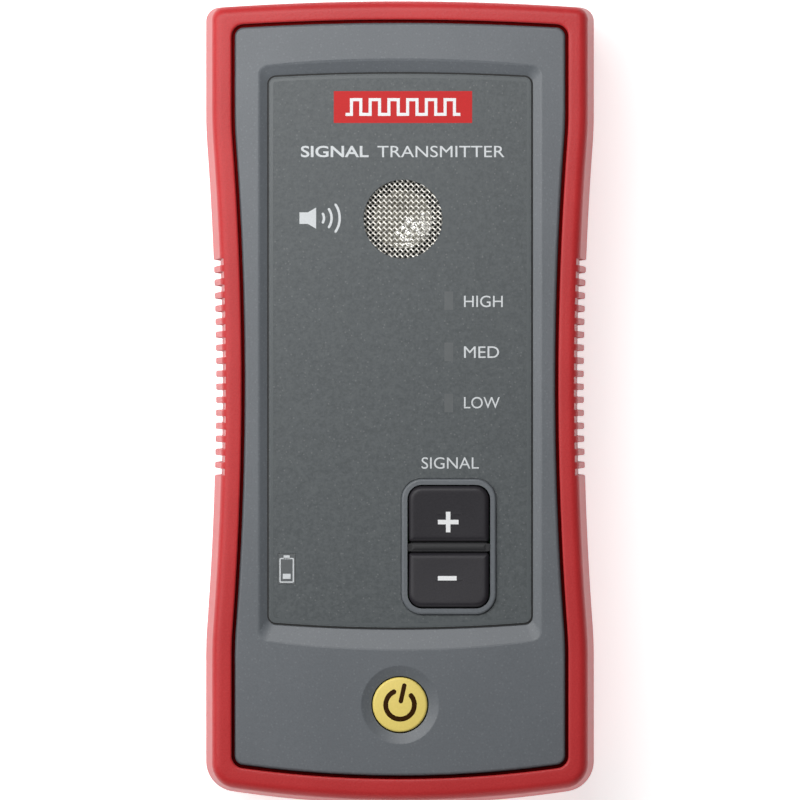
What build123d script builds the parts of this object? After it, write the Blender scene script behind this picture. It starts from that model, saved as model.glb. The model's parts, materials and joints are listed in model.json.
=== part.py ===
"""Hand-held signal transmitter: a waisted two-half case in a red soft-touch bumper.

Frame: the tool lies on its back on z = 0 with its face up (+Z), its top end towards +Y,
and the origin under the middle of the body. All sizes are in millimetres.
"""
import os
from math import atan2, degrees, sqrt

from build123d import *

# ---------------------------------------------------------------- body
BODY_LENGTH = 165.5          # at the parting line
BODY_WIDTH = 80.0            # at the parting line, over the two ends
WAIST_WIDTH = 75.9           # at the parting line, over the grip
BODY_DEPTH = 38.0
PARTING_Z = 18.0
DRAFT = 1.8                  # how far each half draws in from the parting line to its face
WAIST_Y = 3.6                # middle of the waist
WAIST_REACH = 52.6           # from the middle of the waist to where it ends
SHOULDER_RADIUS = 80.0       # blends the waist into the straight ends
TOP_ARC_RADIUS = 540.0
BOTTOM_ARC_RADIUS = 233.0
PARTING_CORNERS = (2.8, 6.3)  # top and bottom corner radii at the parting line
RIM_CORNERS = (2.6, 5.0)     # and at the rims
CASE_CORNERS = (2.2, 3.6)    # and inside the bumper

BUMPER_WALL = 2.6
CASE_WALL = 2.2
RIM_EDGE_RADIUS = 2.0
RIM_THICKNESS = 2.2          # bumper over the front and rear ledges of the case
SEAM_WIDTH = 0.62            # groove between the bumper's rim and the hard face
SEAM_DEPTH = 1.4
PARTING_GROOVE = (0.3, 0.25)  # half its height and its depth, where the two bumpers meet

FACE_Z = BODY_DEPTH - 0.4    # hard face, just below the bumper's rim
BACK_Z = 0.6                 # hard back, just above the surface it lies on
CEILING_Z = 34.0             # inside of the front wall
FLOOR_Z = 3.6                # inside of the rear wall
FACE_SIDE_INSET = 6.3        # hard face, in from the parting-line outline
FACE_TOP_INSET = 5.35
FACE_BOTTOM_INSET = 6.65
FACE_CORNER = 1.9
FACE_CROWN_RADIUS = 1500.0   # the face is slightly domed from side to side
FACE_EDGE_RADIUS = 0.6
RIM_INNER_RADIUS = 0.4

# ---------------------------------------------------------------- ribbed grip
RIB_PITCH = 2.68
RIB_NOTCHES = 17
RIB_TOP_Y = 28.7
NOTCH_WIDTH = 1.35
NOTCH_DEPTH = 1.4            # at the parting line
NOTCH_DEPTH_AT_RIM = 0.7
NOTCH_EDGE = 0.3             # rounding of the tooth edges
NOTCH_OVERSHOOT = 0.05       # how far a notch's mouth stands off the wall
NOTCH_REACH = 2.0            # how far the notch cutter runs out past the wall

# ---------------------------------------------------------------- recessed panel
PANEL_Z = 36.4
PANEL_HALF_WIDTH = 26.9
PANEL_TOP = 67.2
PANEL_BOTTOM = -46.4
PANEL_CORNER = 1.5
BEVEL_HALF_WIDTH = 29.25
BEVEL_TOP = 69.9
BEVEL_BOTTOM = -50.4
BEVEL_CORNER = 2.0
BEVEL_EDGE_RADIUS = 1.2      # softens the bevel's outer edge into the face
BEVEL_TOP_RISE = 0.75
BEVEL_BOTTOM_DROP = 1.1
OVERLAY_THICKNESS = 0.35
OVERLAY_GAP = 0.15
OVERLAY_BOTTOM_LIP = 0.5     # bare case floor below the overlay
OVERLAY_Z = PANEL_Z + OVERLAY_THICKNESS

# ---------------------------------------------------------------- sound opening
SOUND_CENTRE = (0.6, 37.4)
SOUND_DIAMETER = 16.1
SOUND_BORE = 16.6
GRILLE_DIAMETER = 17.6
GRILLE_SEAT_DIAMETER = 17.8
GRILLE_THICKNESS = 0.7
CAN_DIAMETER = 16.2
CAN_WALL = 0.5
CAN_TOP = 35.3
CAN_BOTTOM = 27.3
GROMMET_DIAMETER = 19.0
SOCKET_DIAMETER = 22.0
SOCKET_BOTTOM = 29.0
CONE_RIM_RADIUS = 6.8
CONE_RIM_Z = 34.4
CONE_CENTRE_RADIUS = 1.4
CONE_CENTRE_Z = 33.0
CONE_THICKNESS = 0.3
PIEZO_RADIUS = 5.0
PIEZO_BOTTOM = 30.6
PIEZO_TOP = 31.2
PIEZO_SEAT_RADIUS = 5.6
PIEZO_LEDGE = 1.0            # width of the ledge that the disc rests on

# ---------------------------------------------------------------- keys
KEY_TRAVEL = 0.9
KEY_GAP = 0.25
KEY_LEFT, KEY_RIGHT = 1.5, 18.4
KEY_OPENING_TOP, KEY_OPENING_BOTTOM = -16.75, -42.0
KEY_OPENING_CORNER = 3.0
KEY_TOP_Z = 38.2
KEY_FALL = 0.6               # how far each key falls away towards the bar
KEY_EDGE_RADIUS = 0.8
PLUS_KEY_BOTTOM = -28.4
MINUS_KEY_TOP = -30.65
BAR_TOP, BAR_BOTTOM = -28.75, -30.3
BAR_Z = 37.0
COLLAR_WIDTH = 1.2
COLLAR_Z = 37.5
COLLAR_EDGE = 0.45
SMALL_CORNER = 0.6           # key corners beside the bar

POWER_CENTRE = (0.0, -61.6)
POWER_KEY_RADIUS = 5.6
POWER_KEY_TOP = 37.45
POWER_KEY_EDGE = 0.35
POWER_DISH_RADIUS = 7.95
POWER_DISH_SPHERE = 21.4
POWER_DISH_EDGE = 0.5

# ---------------------------------------------------------------- circuit board and mat
BOARD_TOP = 27.0
BOARD_BOTTOM = 25.4
BOARD_HALF_WIDTH = 29.0
BOARD_UPPER_Y, BOARD_LOWER_Y = 62.0, -69.5
BOARD_CORNER = 2.5
BOARD_POSTS = [(-24.5, 57.0), (24.5, 57.0), (-24.5, -57.0), (24.5, -57.0)]
POST_DIAMETER = 5.6
BOARD_SCREW_DIAMETER = 2.2
BOARD_SCREW_TIP = 32.5
BOARD_SCREW_HEAD = (4.2, 1.6)
MAT_THICKNESS = 1.0
MAT_MARGIN = 2.6
SKIRT_HEIGHT = 1.5
SKIRT_WALL = 0.7
PILL_DIAMETER = 4.0
PILL_THICKNESS = 0.5
KEY_BOTTOM = BOARD_TOP + KEY_TRAVEL + 0.1 + PILL_THICKNESS
CLEARANCE = 0.1

# ---------------------------------------------------------------- lamps
LEVEL_WINDOW_X = 9.95
LEVEL_WINDOW_ROWS = (20.75, 10.35, -0.1)
LEVEL_WINDOW_SIZE = (1.65, 3.1)
BATTERY_WINDOW_CENTRE = (-23.1, -33.9)
BATTERY_WINDOW_SIZE = (3.5, 6.2)
WINDOW_FLANGE = 0.5
WINDOW_FLANGE_THICKNESS = 0.8
WINDOW_BOTTOM = 29.0
LED_SIZE = (2.2, 2.8, 1.5)

# ---------------------------------------------------------------- case screws
CASE_SCREWS = [(-27.5, 69.0), (27.5, 69.0), (-27.5, -69.0), (27.5, -69.0)]
CASE_BOSS_DIAMETER = 8.4
CASE_SCREW_DIAMETER = 2.9
CASE_SCREW_TIP = 31.0
CASE_SCREW_HEAD = (5.6, 2.2)
COUNTERBORE_DIAMETER = 6.2
COUNTERBORE_TOP = 7.0
DRIVE_DIAMETER = 2.6
DRIVE_DEPTH = 1.2

# ---------------------------------------------------------------- battery compartment
BATTERY_SIZE = (26.5, 46.4, 17.5)
BATTERY_LOWER_Y = -62.5
BATTERY_Z = 3.7
BATTERY_CORNER = 2.0
TERMINAL_SPACING = 12.7
TERMINAL_HEIGHT = 2.1
BOX_HALF_WIDTH = 13.9
BOX_UPPER_Y, BOX_LOWER_Y = -6.0, -63.3
BOX_CEILING = 21.8
BOX_WALL = 1.6

DOOR_HALF_WIDTH = 16.2
DOOR_UPPER_Y, DOOR_LOWER_Y = 3.6, -72.9
DOOR_CORNER = 3.0
DOOR_THICKNESS = 2.0
DOOR_GAP = 0.3
DOOR_EDGE_RADIUS = 0.5
DOOR_SCREWS = {"upper_door_screw": (0.0, -0.4), "lower_door_screw": (0.0, -68.9)}
DOOR_SCREW_HEAD = (6.6, 1.1)
DOOR_SCREW_DIAMETER = 2.9
DOOR_SCREW_TIP = 9.5
DOOR_COUNTERBORE = (7.2, 1.3)
COIN_SLOT = (1.0, 0.6)
INSERT_DIAMETER = 5.0
INSERT_BORE = 3.5
INSERT_BOTTOM, INSERT_TOP = 4.2, 10.2
DOOR_BOSS_DIAMETER = 8.0
DOOR_BOSS_TOP = 12.0

# ---------------------------------------------------------------- inside pieces
BORE_SPARE = 0.5             # how far a blind bore runs past its screw's tip
TRIM_SPARE = 1.0             # how far a block runs past the face that trims it
PICK_SLACK = 0.01            # slack when faces and corners are picked by their place
ARC_MIDDLE = 1 - sqrt(0.5)   # a quarter arc's middle stands this many radii off its tangents
LED_CORNER = 0.3
STRAP_X = 6.0
STRAP_WIDTH = 5.0
BASE_THICKNESS = 1.4
PIN_SPACING = 13.0
PIN_RADIUS = 0.4
PIN_STUB = 1.0               # pin past the board and past the base
BOSS_CLEARANCE = 0.5
CHIP_LEAD = (0.5, 1.1, 0.4)  # height, reach and width of a lead
LEAD_PITCH = 1.27
MICROCONTROLLER_BODY = (7.6, 12.8, 2.2)
MICROCONTROLLER_LEADS = 10   # along each long side
DRIVER_BODY = (3.9, 4.9, 1.5)
DRIVER_LEADS = 4
MICROCONTROLLER_CENTRE = (-14.0, 10.0)
DRIVER_CENTRES = [(-14.0, 28.0), (18.0, 42.0)]
CORE_CENTRE = (-14.0, 36.0)
CORE_SIZE = (15.0, 11.0, 12.0)
CORE_LIMB = 2.5
CORE_LEG_RADIUS = 2.4
WINDING_WIDTH = 10.4
CAPACITOR_CENTRES = [(14.0, 22.0), (14.0, 34.0), (14.0, 46.0)]
CAPACITOR_SIZE = (4.0, 11.5)
CAPACITOR_EDGE = 0.6
CRYSTAL_CENTRE = (-14.0, -6.0)
CRYSTAL_SIZE = (4.6, 11.0, 3.5)
CRYSTAL_CORNER = 2.2
SEAL_HEIGHT = 0.9
SEAL_OUTER_INSET = 3.1
SEAL_INNER_INSET = 4.8       # flush with the inside of the case wall
STUD_RADIUS = 2.8
SNAP_RADIUS = 4.3
BLOCK_THICKNESS = 3.0
BLOCK_CORNER = 1.0
TAG_Y = -10.5
TAG_WIDTH = 3.0
TAG_THICKNESS = 0.4
TAG_SLOT = (4.0, 2.0)
PAD_SIZE = (22.0, 42.0)
PAD_THICKNESS = 0.8
PAD_CORNER = 2.0
DRIVE_WIDTH = 0.9


# ---------------------------------------------------------------- outlines
def draft_at(z):
    """How far a wall has drawn in from the parting line at height z."""
    reach = BODY_DEPTH - PARTING_Z if z > PARTING_Z else PARTING_Z
    return DRAFT * abs(z - PARTING_Z) / reach


def waist_half_width(y):
    """Half the parting-line width at height y along the grip."""
    dip = (BODY_WIDTH - WAIST_WIDTH) / 2
    radius = (WAIST_REACH**2 + dip**2) / (2 * dip)
    return WAIST_WIDTH / 2 + radius - sqrt(radius**2 - (y - WAIST_Y) ** 2)


def body_outline(z, side_inset, top_inset=None, bottom_inset=None, corners=RIM_CORNERS):
    """Waisted outline at height z, drawn in from the parting-line outline."""
    end = BODY_WIDTH / 2 - side_inset
    waist = WAIST_WIDTH / 2 - side_inset
    top = BODY_LENGTH / 2 - (side_inset if top_inset is None else top_inset)
    bottom = -BODY_LENGTH / 2 + (side_inset if bottom_inset is None else bottom_inset)
    top_side = top - end**2 / (2 * TOP_ARC_RADIUS)
    bottom_side = bottom + end**2 / (2 * BOTTOM_ARC_RADIUS)
    upper, lower = WAIST_Y + WAIST_REACH, WAIST_Y - WAIST_REACH
    with BuildSketch(Plane.XY.offset(z)) as outline:
        with BuildLine():
            ThreePointArc((end, top_side), (0, top), (-end, top_side))
            Line((-end, top_side), (-end, upper))
            ThreePointArc((-end, upper), (-waist, WAIST_Y), (-end, lower))
            Line((-end, lower), (-end, bottom_side))
            ThreePointArc((-end, bottom_side), (0, bottom), (end, bottom_side))
            Line((end, bottom_side), (end, lower))
            ThreePointArc((end, lower), (waist, WAIST_Y), (end, upper))
            Line((end, upper), (end, top_side))
        make_face()
        fillet(outline.vertices().filter_by_position(Axis.Y, lower - PICK_SLACK, upper + PICK_SLACK),
               SHOULDER_RADIUS)
        fillet(outline.vertices().group_by(Axis.Y)[-1], corners[0])
        fillet(outline.vertices().group_by(Axis.Y)[0], corners[1])
    return outline.sketch.face()


def case_outline(z, inset):
    """Outline of a surface that follows the drafted wall, inset from the bumper's outside."""
    return body_outline(z, inset + draft_at(z), corners=CASE_CORNERS)


def face_outline(z, grow=0.0):
    """Outline of the hard face and of the hard back, grown outwards by grow."""
    corner = FACE_CORNER + grow
    insets = (FACE_SIDE_INSET - grow, FACE_TOP_INSET - grow, FACE_BOTTOM_INSET - grow)
    return body_outline(z, *insets, corners=(corner, corner))


def arched_panel(z, half_width, top, bottom, corner):
    """Straight-sided panel whose top and bottom edges are slightly arched."""
    with BuildSketch(Plane.XY.offset(z)) as outline:
        with BuildLine():
            upper, lower = top - BEVEL_TOP_RISE, bottom + BEVEL_BOTTOM_DROP
            ThreePointArc((half_width, upper), (0, top), (-half_width, upper))
            Line((-half_width, upper), (-half_width, lower))
            ThreePointArc((-half_width, lower), (0, bottom), (half_width, lower))
            Line((half_width, lower), (half_width, upper))
        make_face()
        fillet(outline.vertices(), corner)
    return outline.sketch.face()


def between(z, left, right, top, bottom, corner):
    """Rounded rectangle between four edges."""
    with BuildSketch(Plane.XY.offset(z)) as outline:
        with Locations(((left + right) / 2, (top + bottom) / 2)):
            RectangleRounded(right - left, top - bottom, corner)
    return outline.sketch.face()


def key_opening(z, grow=0.0):
    """Opening for the two level keys, grown outwards by grow."""
    return between(
        z,
        KEY_LEFT - grow,
        KEY_RIGHT + grow,
        KEY_OPENING_TOP + grow,
        KEY_OPENING_BOTTOM - grow,
        KEY_OPENING_CORNER + grow,
    )


def round_at(z, centre, radius):
    """Circle around a centre at height z."""
    with BuildSketch(Plane.XY.offset(z)) as outline:
        with Locations(centre):
            Circle(radius)
    return outline.sketch.face()


def rectangle_at(z, centre, width, height, corner=0.0):
    """Rectangle around a centre at height z, with rounded corners if corner is given."""
    with BuildSketch(Plane.XY.offset(z)) as outline:
        with Locations(centre):
            if corner:
                RectangleRounded(width, height, corner)
            else:
                Rectangle(width, height)
    return outline.sketch.face()


def key_outline(z, top, bottom, grow=0.0):
    """One level key: large corners at the collar, small ones beside the bar."""
    with BuildSketch(Plane.XY.offset(z)) as outline:
        with Locations(((KEY_LEFT + KEY_RIGHT) / 2, (top + bottom) / 2)):
            Rectangle(KEY_RIGHT - KEY_LEFT - 2 * KEY_GAP + 2 * grow, top - bottom + 2 * grow)
        corners = outline.vertices().group_by(Axis.Y)
        upper_key = (top + bottom) / 2 > (BAR_TOP + BAR_BOTTOM) / 2
        outer, inner = (corners[-1], corners[0]) if upper_key else (corners[0], corners[-1])
        fillet(outer, KEY_OPENING_CORNER - KEY_GAP + grow)
        fillet(inner, SMALL_CORNER + grow)
    return outline.sketch.face()


def notch_section(z, side, y, depth):
    """One grip notch in plan: mouth on the drafted wall, tooth edges and floor rounded."""
    wall = waist_half_width(y) - draft_at(z) + NOTCH_OVERSHOOT
    half, edge, out = NOTCH_WIDTH / 2, NOTCH_EDGE, NOTCH_REACH
    near = ARC_MIDDLE * edge
    plane = Plane((side * wall, y, z), x_dir=(side, 0, 0), z_dir=(0, 0, side))
    with BuildSketch(plane) as section:
        with BuildLine():
            Line((-depth, half), (-depth, -half))
            Line((-depth, -half), (-edge, -half))
            ThreePointArc((-edge, -half), (-near, -half - near), (0, -half - edge))
            Line((0, -half - edge), (out, -half - edge))
            Line((out, -half - edge), (out, half + edge))
            Line((out, half + edge), (0, half + edge))
            ThreePointArc((0, half + edge), (-near, half + near), (-edge, half))
            Line((-edge, half), (-depth, half))
        make_face()
    return section.sketch.face()


def grip_notches(z_rim):
    """Cutters for all grip notches of one bumper half, from its rim to the parting line."""
    cutters = []
    for side in (-1, 1):
        for row in range(RIB_NOTCHES):
            y = RIB_TOP_Y - row * RIB_PITCH
            at_rim = notch_section(z_rim, side, y, NOTCH_DEPTH_AT_RIM)
            at_parting = notch_section(PARTING_Z, side, y, NOTCH_DEPTH)
            cutters.append(loft([at_rim, at_parting], ruled=True, mode=Mode.PRIVATE))
    return cutters


def finish_part(builder, name):
    """Labels a finished piece and writes it as parts/name.step."""
    builder.part.label = name
    export_step(builder.part, f"parts/{name}.step")


os.makedirs("parts", exist_ok=True)

# ---------------------------------------------------------------- outsides of the case halves
front_ledge_z = BODY_DEPTH - RIM_THICKNESS
with BuildPart() as front_core:
    loft([case_outline(PARTING_Z, BUMPER_WALL), case_outline(front_ledge_z, BUMPER_WALL)], ruled=True)
    extrude(face_outline(CEILING_Z), amount=FACE_Z - CEILING_Z)
    with Locations((0, 0, FACE_Z - FACE_CROWN_RADIUS)):
        Cylinder(FACE_CROWN_RADIUS, 2 * BODY_LENGTH, rotation=(90, 0, 0), mode=Mode.INTERSECT)
    fillet(front_core.faces().sort_by(Axis.Z)[-1].edges(), FACE_EDGE_RADIUS)

with BuildPart() as rear_core:
    loft([case_outline(RIM_THICKNESS, BUMPER_WALL), case_outline(PARTING_Z, BUMPER_WALL)], ruled=True)
    extrude(face_outline(BACK_Z), amount=FLOOR_Z - BACK_Z)
    fillet(rear_core.faces().sort_by(Axis.Z)[0].edges(), FACE_EDGE_RADIUS)

# ---------------------------------------------------------------- bumper halves
groove_half, groove_depth = PARTING_GROOVE
with BuildPart() as front_bumper:
    low = PARTING_Z + groove_half
    loft([body_outline(low, draft_at(low), corners=PARTING_CORNERS), body_outline(BODY_DEPTH, DRAFT)],
         ruled=True)
    fillet(front_bumper.faces().sort_by(Axis.Z)[-1].edges(), RIM_EDGE_RADIUS)
    extrude(body_outline(PARTING_Z, groove_depth, corners=PARTING_CORNERS), amount=groove_half)
    add(front_core.part, mode=Mode.SUBTRACT)
    extrude(face_outline(BODY_DEPTH - SEAM_DEPTH, SEAM_WIDTH), amount=SEAM_DEPTH, mode=Mode.SUBTRACT)
    rim = front_bumper.faces().filter_by(Axis.Z).sort_by(Axis.Z)[-1]
    fillet(rim.inner_wires()[0].edges(), RIM_INNER_RADIUS)
    add(grip_notches(BODY_DEPTH), mode=Mode.SUBTRACT)
finish_part(front_bumper, "front_bumper")

with BuildPart() as rear_bumper:
    high = PARTING_Z - groove_half
    loft([body_outline(0, DRAFT), body_outline(high, draft_at(high), corners=PARTING_CORNERS)],
         ruled=True)
    fillet(rear_bumper.faces().sort_by(Axis.Z)[0].edges(), RIM_EDGE_RADIUS)
    extrude(body_outline(high, groove_depth, corners=PARTING_CORNERS), amount=groove_half)
    add(rear_core.part, mode=Mode.SUBTRACT)
    extrude(face_outline(0, SEAM_WIDTH), amount=SEAM_DEPTH, mode=Mode.SUBTRACT)
    rim = rear_bumper.faces().filter_by(Axis.Z).sort_by(Axis.Z)[0]
    fillet(rim.inner_wires()[0].edges(), RIM_INNER_RADIUS)
    add(grip_notches(0), mode=Mode.SUBTRACT)
finish_part(rear_bumper, "rear_bumper")

# ---------------------------------------------------------------- front case
windows = [((LEVEL_WINDOW_X, row), LEVEL_WINDOW_SIZE) for row in LEVEL_WINDOW_ROWS]
battery_mark = (BATTERY_WINDOW_CENTRE, BATTERY_WINDOW_SIZE)
grille_seat_z = PANEL_Z - GRILLE_THICKNESS
inner_inset = BUMPER_WALL + CASE_WALL

with BuildPart() as front_case:
    add(front_core.part)
    # bevelled recess for the overlay, its outer edge softened into the face
    loft([arched_panel(PANEL_Z, PANEL_HALF_WIDTH, PANEL_TOP, PANEL_BOTTOM, PANEL_CORNER),
          arched_panel(FACE_Z, BEVEL_HALF_WIDTH, BEVEL_TOP, BEVEL_BOTTOM, BEVEL_CORNER)],
         ruled=True, mode=Mode.SUBTRACT)
    domed_face = front_case.faces().filter_by(GeomType.CYLINDER).sort_by(SortBy.AREA)[-1]
    fillet(domed_face.inner_wires()[0].edges(), BEVEL_EDGE_RADIUS)
    # dish round the power key
    dish_rise = sqrt(POWER_DISH_SPHERE**2 - POWER_DISH_RADIUS**2)
    with Locations((*POWER_CENTRE, FACE_Z + dish_rise)):
        Sphere(POWER_DISH_SPHERE, mode=Mode.SUBTRACT)
    dish = front_case.faces().filter_by(GeomType.SPHERE)
    fillet(dish.edges(), POWER_DISH_EDGE)
    # hollow, with a socket for the transducer, posts for the board and bosses for the case screws
    loft([case_outline(PARTING_Z, inner_inset), case_outline(CEILING_Z, inner_inset)],
         ruled=True, mode=Mode.SUBTRACT)
    extrude(round_at(SOCKET_BOTTOM, SOUND_CENTRE, SOCKET_DIAMETER / 2), amount=CEILING_Z - SOCKET_BOTTOM)
    for centre in BOARD_POSTS:
        extrude(round_at(BOARD_TOP, centre, POST_DIAMETER / 2), amount=CEILING_Z - BOARD_TOP)
    for centre in CASE_SCREWS:
        extrude(round_at(PARTING_Z, centre, CASE_BOSS_DIAMETER / 2), amount=CEILING_Z - PARTING_Z)
    # raised collar round the level keys
    extrude(key_opening(CEILING_Z, COLLAR_WIDTH), amount=COLLAR_Z - CEILING_Z)
    collar_top = front_case.faces().filter_by(Axis.Z).filter_by_position(
        Axis.Z, COLLAR_Z - PICK_SLACK, COLLAR_Z + PICK_SLACK)
    fillet(collar_top.edges(), COLLAR_EDGE)
    extrude(key_opening(CEILING_Z), amount=COLLAR_Z - CEILING_Z, mode=Mode.SUBTRACT)
    extrude(round_at(CEILING_Z, POWER_CENTRE, POWER_KEY_RADIUS + KEY_GAP),
            amount=FACE_Z - CEILING_Z, mode=Mode.SUBTRACT)
    # sound opening: bore for the transducer, seat for the grille, seat for the grommet
    extrude(round_at(CEILING_Z, SOUND_CENTRE, SOUND_BORE / 2), amount=CASE_WALL, mode=Mode.SUBTRACT)
    extrude(round_at(grille_seat_z, SOUND_CENTRE, GRILLE_SEAT_DIAMETER / 2),
            amount=GRILLE_THICKNESS, mode=Mode.SUBTRACT)
    extrude(round_at(SOCKET_BOTTOM, SOUND_CENTRE, GROMMET_DIAMETER / 2),
            amount=CEILING_Z - SOCKET_BOTTOM, mode=Mode.SUBTRACT)
    for centre, (width, height) in windows + [battery_mark]:
        extrude(rectangle_at(CEILING_Z, centre, width + CLEARANCE, height + CLEARANCE),
                amount=PANEL_Z - CEILING_Z, mode=Mode.SUBTRACT)
    # screw bores
    for centre in BOARD_POSTS:
        bore = round_at(BOARD_TOP, centre, (BOARD_SCREW_DIAMETER + CLEARANCE) / 2)
        extrude(bore, amount=BOARD_SCREW_TIP + BORE_SPARE - BOARD_TOP, mode=Mode.SUBTRACT)
    for centre in CASE_SCREWS:
        bore = round_at(PARTING_Z, centre, (CASE_SCREW_DIAMETER + CLEARANCE) / 2)
        extrude(bore, amount=CASE_SCREW_TIP + BORE_SPARE - PARTING_Z, mode=Mode.SUBTRACT)
finish_part(front_case, "front_case")

# ---------------------------------------------------------------- panel overlay and grille
with BuildPart() as front_overlay:
    extrude(arched_panel(PANEL_Z, PANEL_HALF_WIDTH - OVERLAY_GAP, PANEL_TOP - OVERLAY_GAP,
                         PANEL_BOTTOM + OVERLAY_BOTTOM_LIP, PANEL_CORNER), amount=OVERLAY_THICKNESS)
    extrude(round_at(PANEL_Z, SOUND_CENTRE, SOUND_DIAMETER / 2),
            amount=OVERLAY_THICKNESS, mode=Mode.SUBTRACT)
    extrude(key_opening(PANEL_Z, COLLAR_WIDTH + OVERLAY_GAP),
            amount=OVERLAY_THICKNESS, mode=Mode.SUBTRACT)
    for centre, (width, height) in windows + [battery_mark]:
        extrude(rectangle_at(PANEL_Z, centre, width + CLEARANCE, height + CLEARANCE),
                amount=OVERLAY_THICKNESS, mode=Mode.SUBTRACT)
finish_part(front_overlay, "front_overlay")

with BuildPart() as grille:
    extrude(round_at(grille_seat_z, SOUND_CENTRE, GRILLE_DIAMETER / 2), amount=GRILLE_THICKNESS)
finish_part(grille, "grille")


# ---------------------------------------------------------------- lamps and their windows
def add_window(centre, size):
    """Adds one lamp window to the part being built: a clear bar with a flange under the wall."""
    width, height = size
    extrude(rectangle_at(WINDOW_BOTTOM, centre, width, height), amount=OVERLAY_Z - WINDOW_BOTTOM)
    flange_z = CEILING_Z - WINDOW_FLANGE_THICKNESS
    flange = rectangle_at(flange_z, centre, width + 2 * WINDOW_FLANGE, height + 2 * WINDOW_FLANGE)
    extrude(flange, amount=WINDOW_FLANGE_THICKNESS)


with BuildPart() as level_windows:
    for centre, size in windows:
        add_window(centre, size)
finish_part(level_windows, "level_windows")

with BuildPart() as battery_window:
    add_window(*battery_mark)
finish_part(battery_window, "battery_window")

with BuildPart() as level_leds:
    for centre, _ in windows:
        extrude(rectangle_at(BOARD_TOP, centre, LED_SIZE[0], LED_SIZE[1], LED_CORNER), amount=LED_SIZE[2])
finish_part(level_leds, "level_leds")

with BuildPart() as battery_led:
    extrude(rectangle_at(BOARD_TOP, BATTERY_WINDOW_CENTRE, LED_SIZE[0], LED_SIZE[1], LED_CORNER),
            amount=LED_SIZE[2])
finish_part(battery_led, "battery_led")


# ---------------------------------------------------------------- keys
def key_body(top, bottom, falls_down):
    """One level key: a block whose top face falls away towards the bar, its top edges rounded."""
    outline = key_outline(KEY_BOTTOM, top, bottom)
    with BuildPart() as key:
        extrude(outline, amount=KEY_TOP_Z + TRIM_SPARE - KEY_BOTTOM)
        middle = ((KEY_LEFT + KEY_RIGHT) / 2, (top + bottom) / 2)
        tilt = degrees(atan2(KEY_FALL, top - bottom)) * (1 if falls_down else -1)
        face_plane = Plane((*middle, KEY_TOP_Z - KEY_FALL / 2)).rotated((tilt, 0, 0))
        split(bisect_by=face_plane, keep=Keep.BOTTOM)
        fillet(key.faces().sort_by(Axis.Z)[-1].edges(), KEY_EDGE_RADIUS)
    return key


plus_key = key_body(KEY_OPENING_TOP - KEY_GAP, PLUS_KEY_BOTTOM, True)
finish_part(plus_key, "plus_key")
minus_key = key_body(MINUS_KEY_TOP, KEY_OPENING_BOTTOM + KEY_GAP, False)
finish_part(minus_key, "minus_key")

with BuildPart() as power_key:
    extrude(round_at(KEY_BOTTOM, POWER_CENTRE, POWER_KEY_RADIUS), amount=POWER_KEY_TOP - KEY_BOTTOM)
    fillet(power_key.faces().sort_by(Axis.Z)[-1].edges(), POWER_KEY_EDGE)
finish_part(power_key, "power_key")

key_centre_x = (KEY_LEFT + KEY_RIGHT) / 2
pill_centres = {
    "plus_contact": (key_centre_x, (KEY_OPENING_TOP + PLUS_KEY_BOTTOM) / 2),
    "minus_contact": (key_centre_x, (MINUS_KEY_TOP + KEY_OPENING_BOTTOM) / 2),
    "power_contact": POWER_CENTRE,
}
for pill_name, centre in pill_centres.items():
    with BuildPart() as pill:
        extrude(round_at(KEY_BOTTOM - PILL_THICKNESS, centre, PILL_DIAMETER / 2), amount=PILL_THICKNESS)
    finish_part(pill, pill_name)

with BuildPart() as keypad:
    skirt = KEY_GAP + SKIRT_WALL
    extrude(key_opening(BOARD_TOP, MAT_MARGIN), amount=MAT_THICKNESS)
    extrude(key_opening(BOARD_TOP, SKIRT_WALL), amount=SKIRT_HEIGHT + MAT_THICKNESS)
    power_mat = MAT_MARGIN + POWER_KEY_RADIUS
    extrude(round_at(BOARD_TOP, POWER_CENTRE, power_mat), amount=MAT_THICKNESS)
    extrude(round_at(BOARD_TOP, POWER_CENTRE, POWER_KEY_RADIUS + skirt),
            amount=SKIRT_HEIGHT + MAT_THICKNESS)
    # strap that joins the two pads
    strap_top, strap_bottom = KEY_OPENING_BOTTOM, POWER_CENTRE[1]
    strap_centre = (STRAP_X, (strap_top + strap_bottom) / 2)
    extrude(rectangle_at(BOARD_TOP, strap_centre, STRAP_WIDTH, strap_top - strap_bottom),
            amount=MAT_THICKNESS)
    # cross bar between the keys, up to the face
    bar_width = KEY_RIGHT - KEY_LEFT - 2 * CLEARANCE
    bar_centre = (key_centre_x, (BAR_TOP + BAR_BOTTOM) / 2)
    extrude(rectangle_at(BOARD_TOP, bar_centre, bar_width, BAR_TOP - BAR_BOTTOM), amount=BAR_Z - BOARD_TOP)
    # wells in which the keys travel
    well = SKIRT_HEIGHT + MAT_THICKNESS
    extrude(key_outline(BOARD_TOP, KEY_OPENING_TOP - KEY_GAP, PLUS_KEY_BOTTOM, KEY_GAP),
            amount=well, mode=Mode.SUBTRACT)
    extrude(key_outline(BOARD_TOP, MINUS_KEY_TOP, KEY_OPENING_BOTTOM + KEY_GAP, KEY_GAP),
            amount=well, mode=Mode.SUBTRACT)
    extrude(round_at(BOARD_TOP, POWER_CENTRE, POWER_KEY_RADIUS + KEY_GAP),
            amount=well, mode=Mode.SUBTRACT)
finish_part(keypad, "keypad")

# ---------------------------------------------------------------- transducer
with BuildPart() as transducer_can:
    extrude(round_at(CAN_BOTTOM, SOUND_CENTRE, CAN_DIAMETER / 2), amount=CAN_TOP - CAN_BOTTOM)
    extrude(round_at(CAN_BOTTOM, SOUND_CENTRE, CAN_DIAMETER / 2 - CAN_WALL),
            amount=CAN_TOP - CAN_BOTTOM, mode=Mode.SUBTRACT)
finish_part(transducer_can, "transducer_can")

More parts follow.
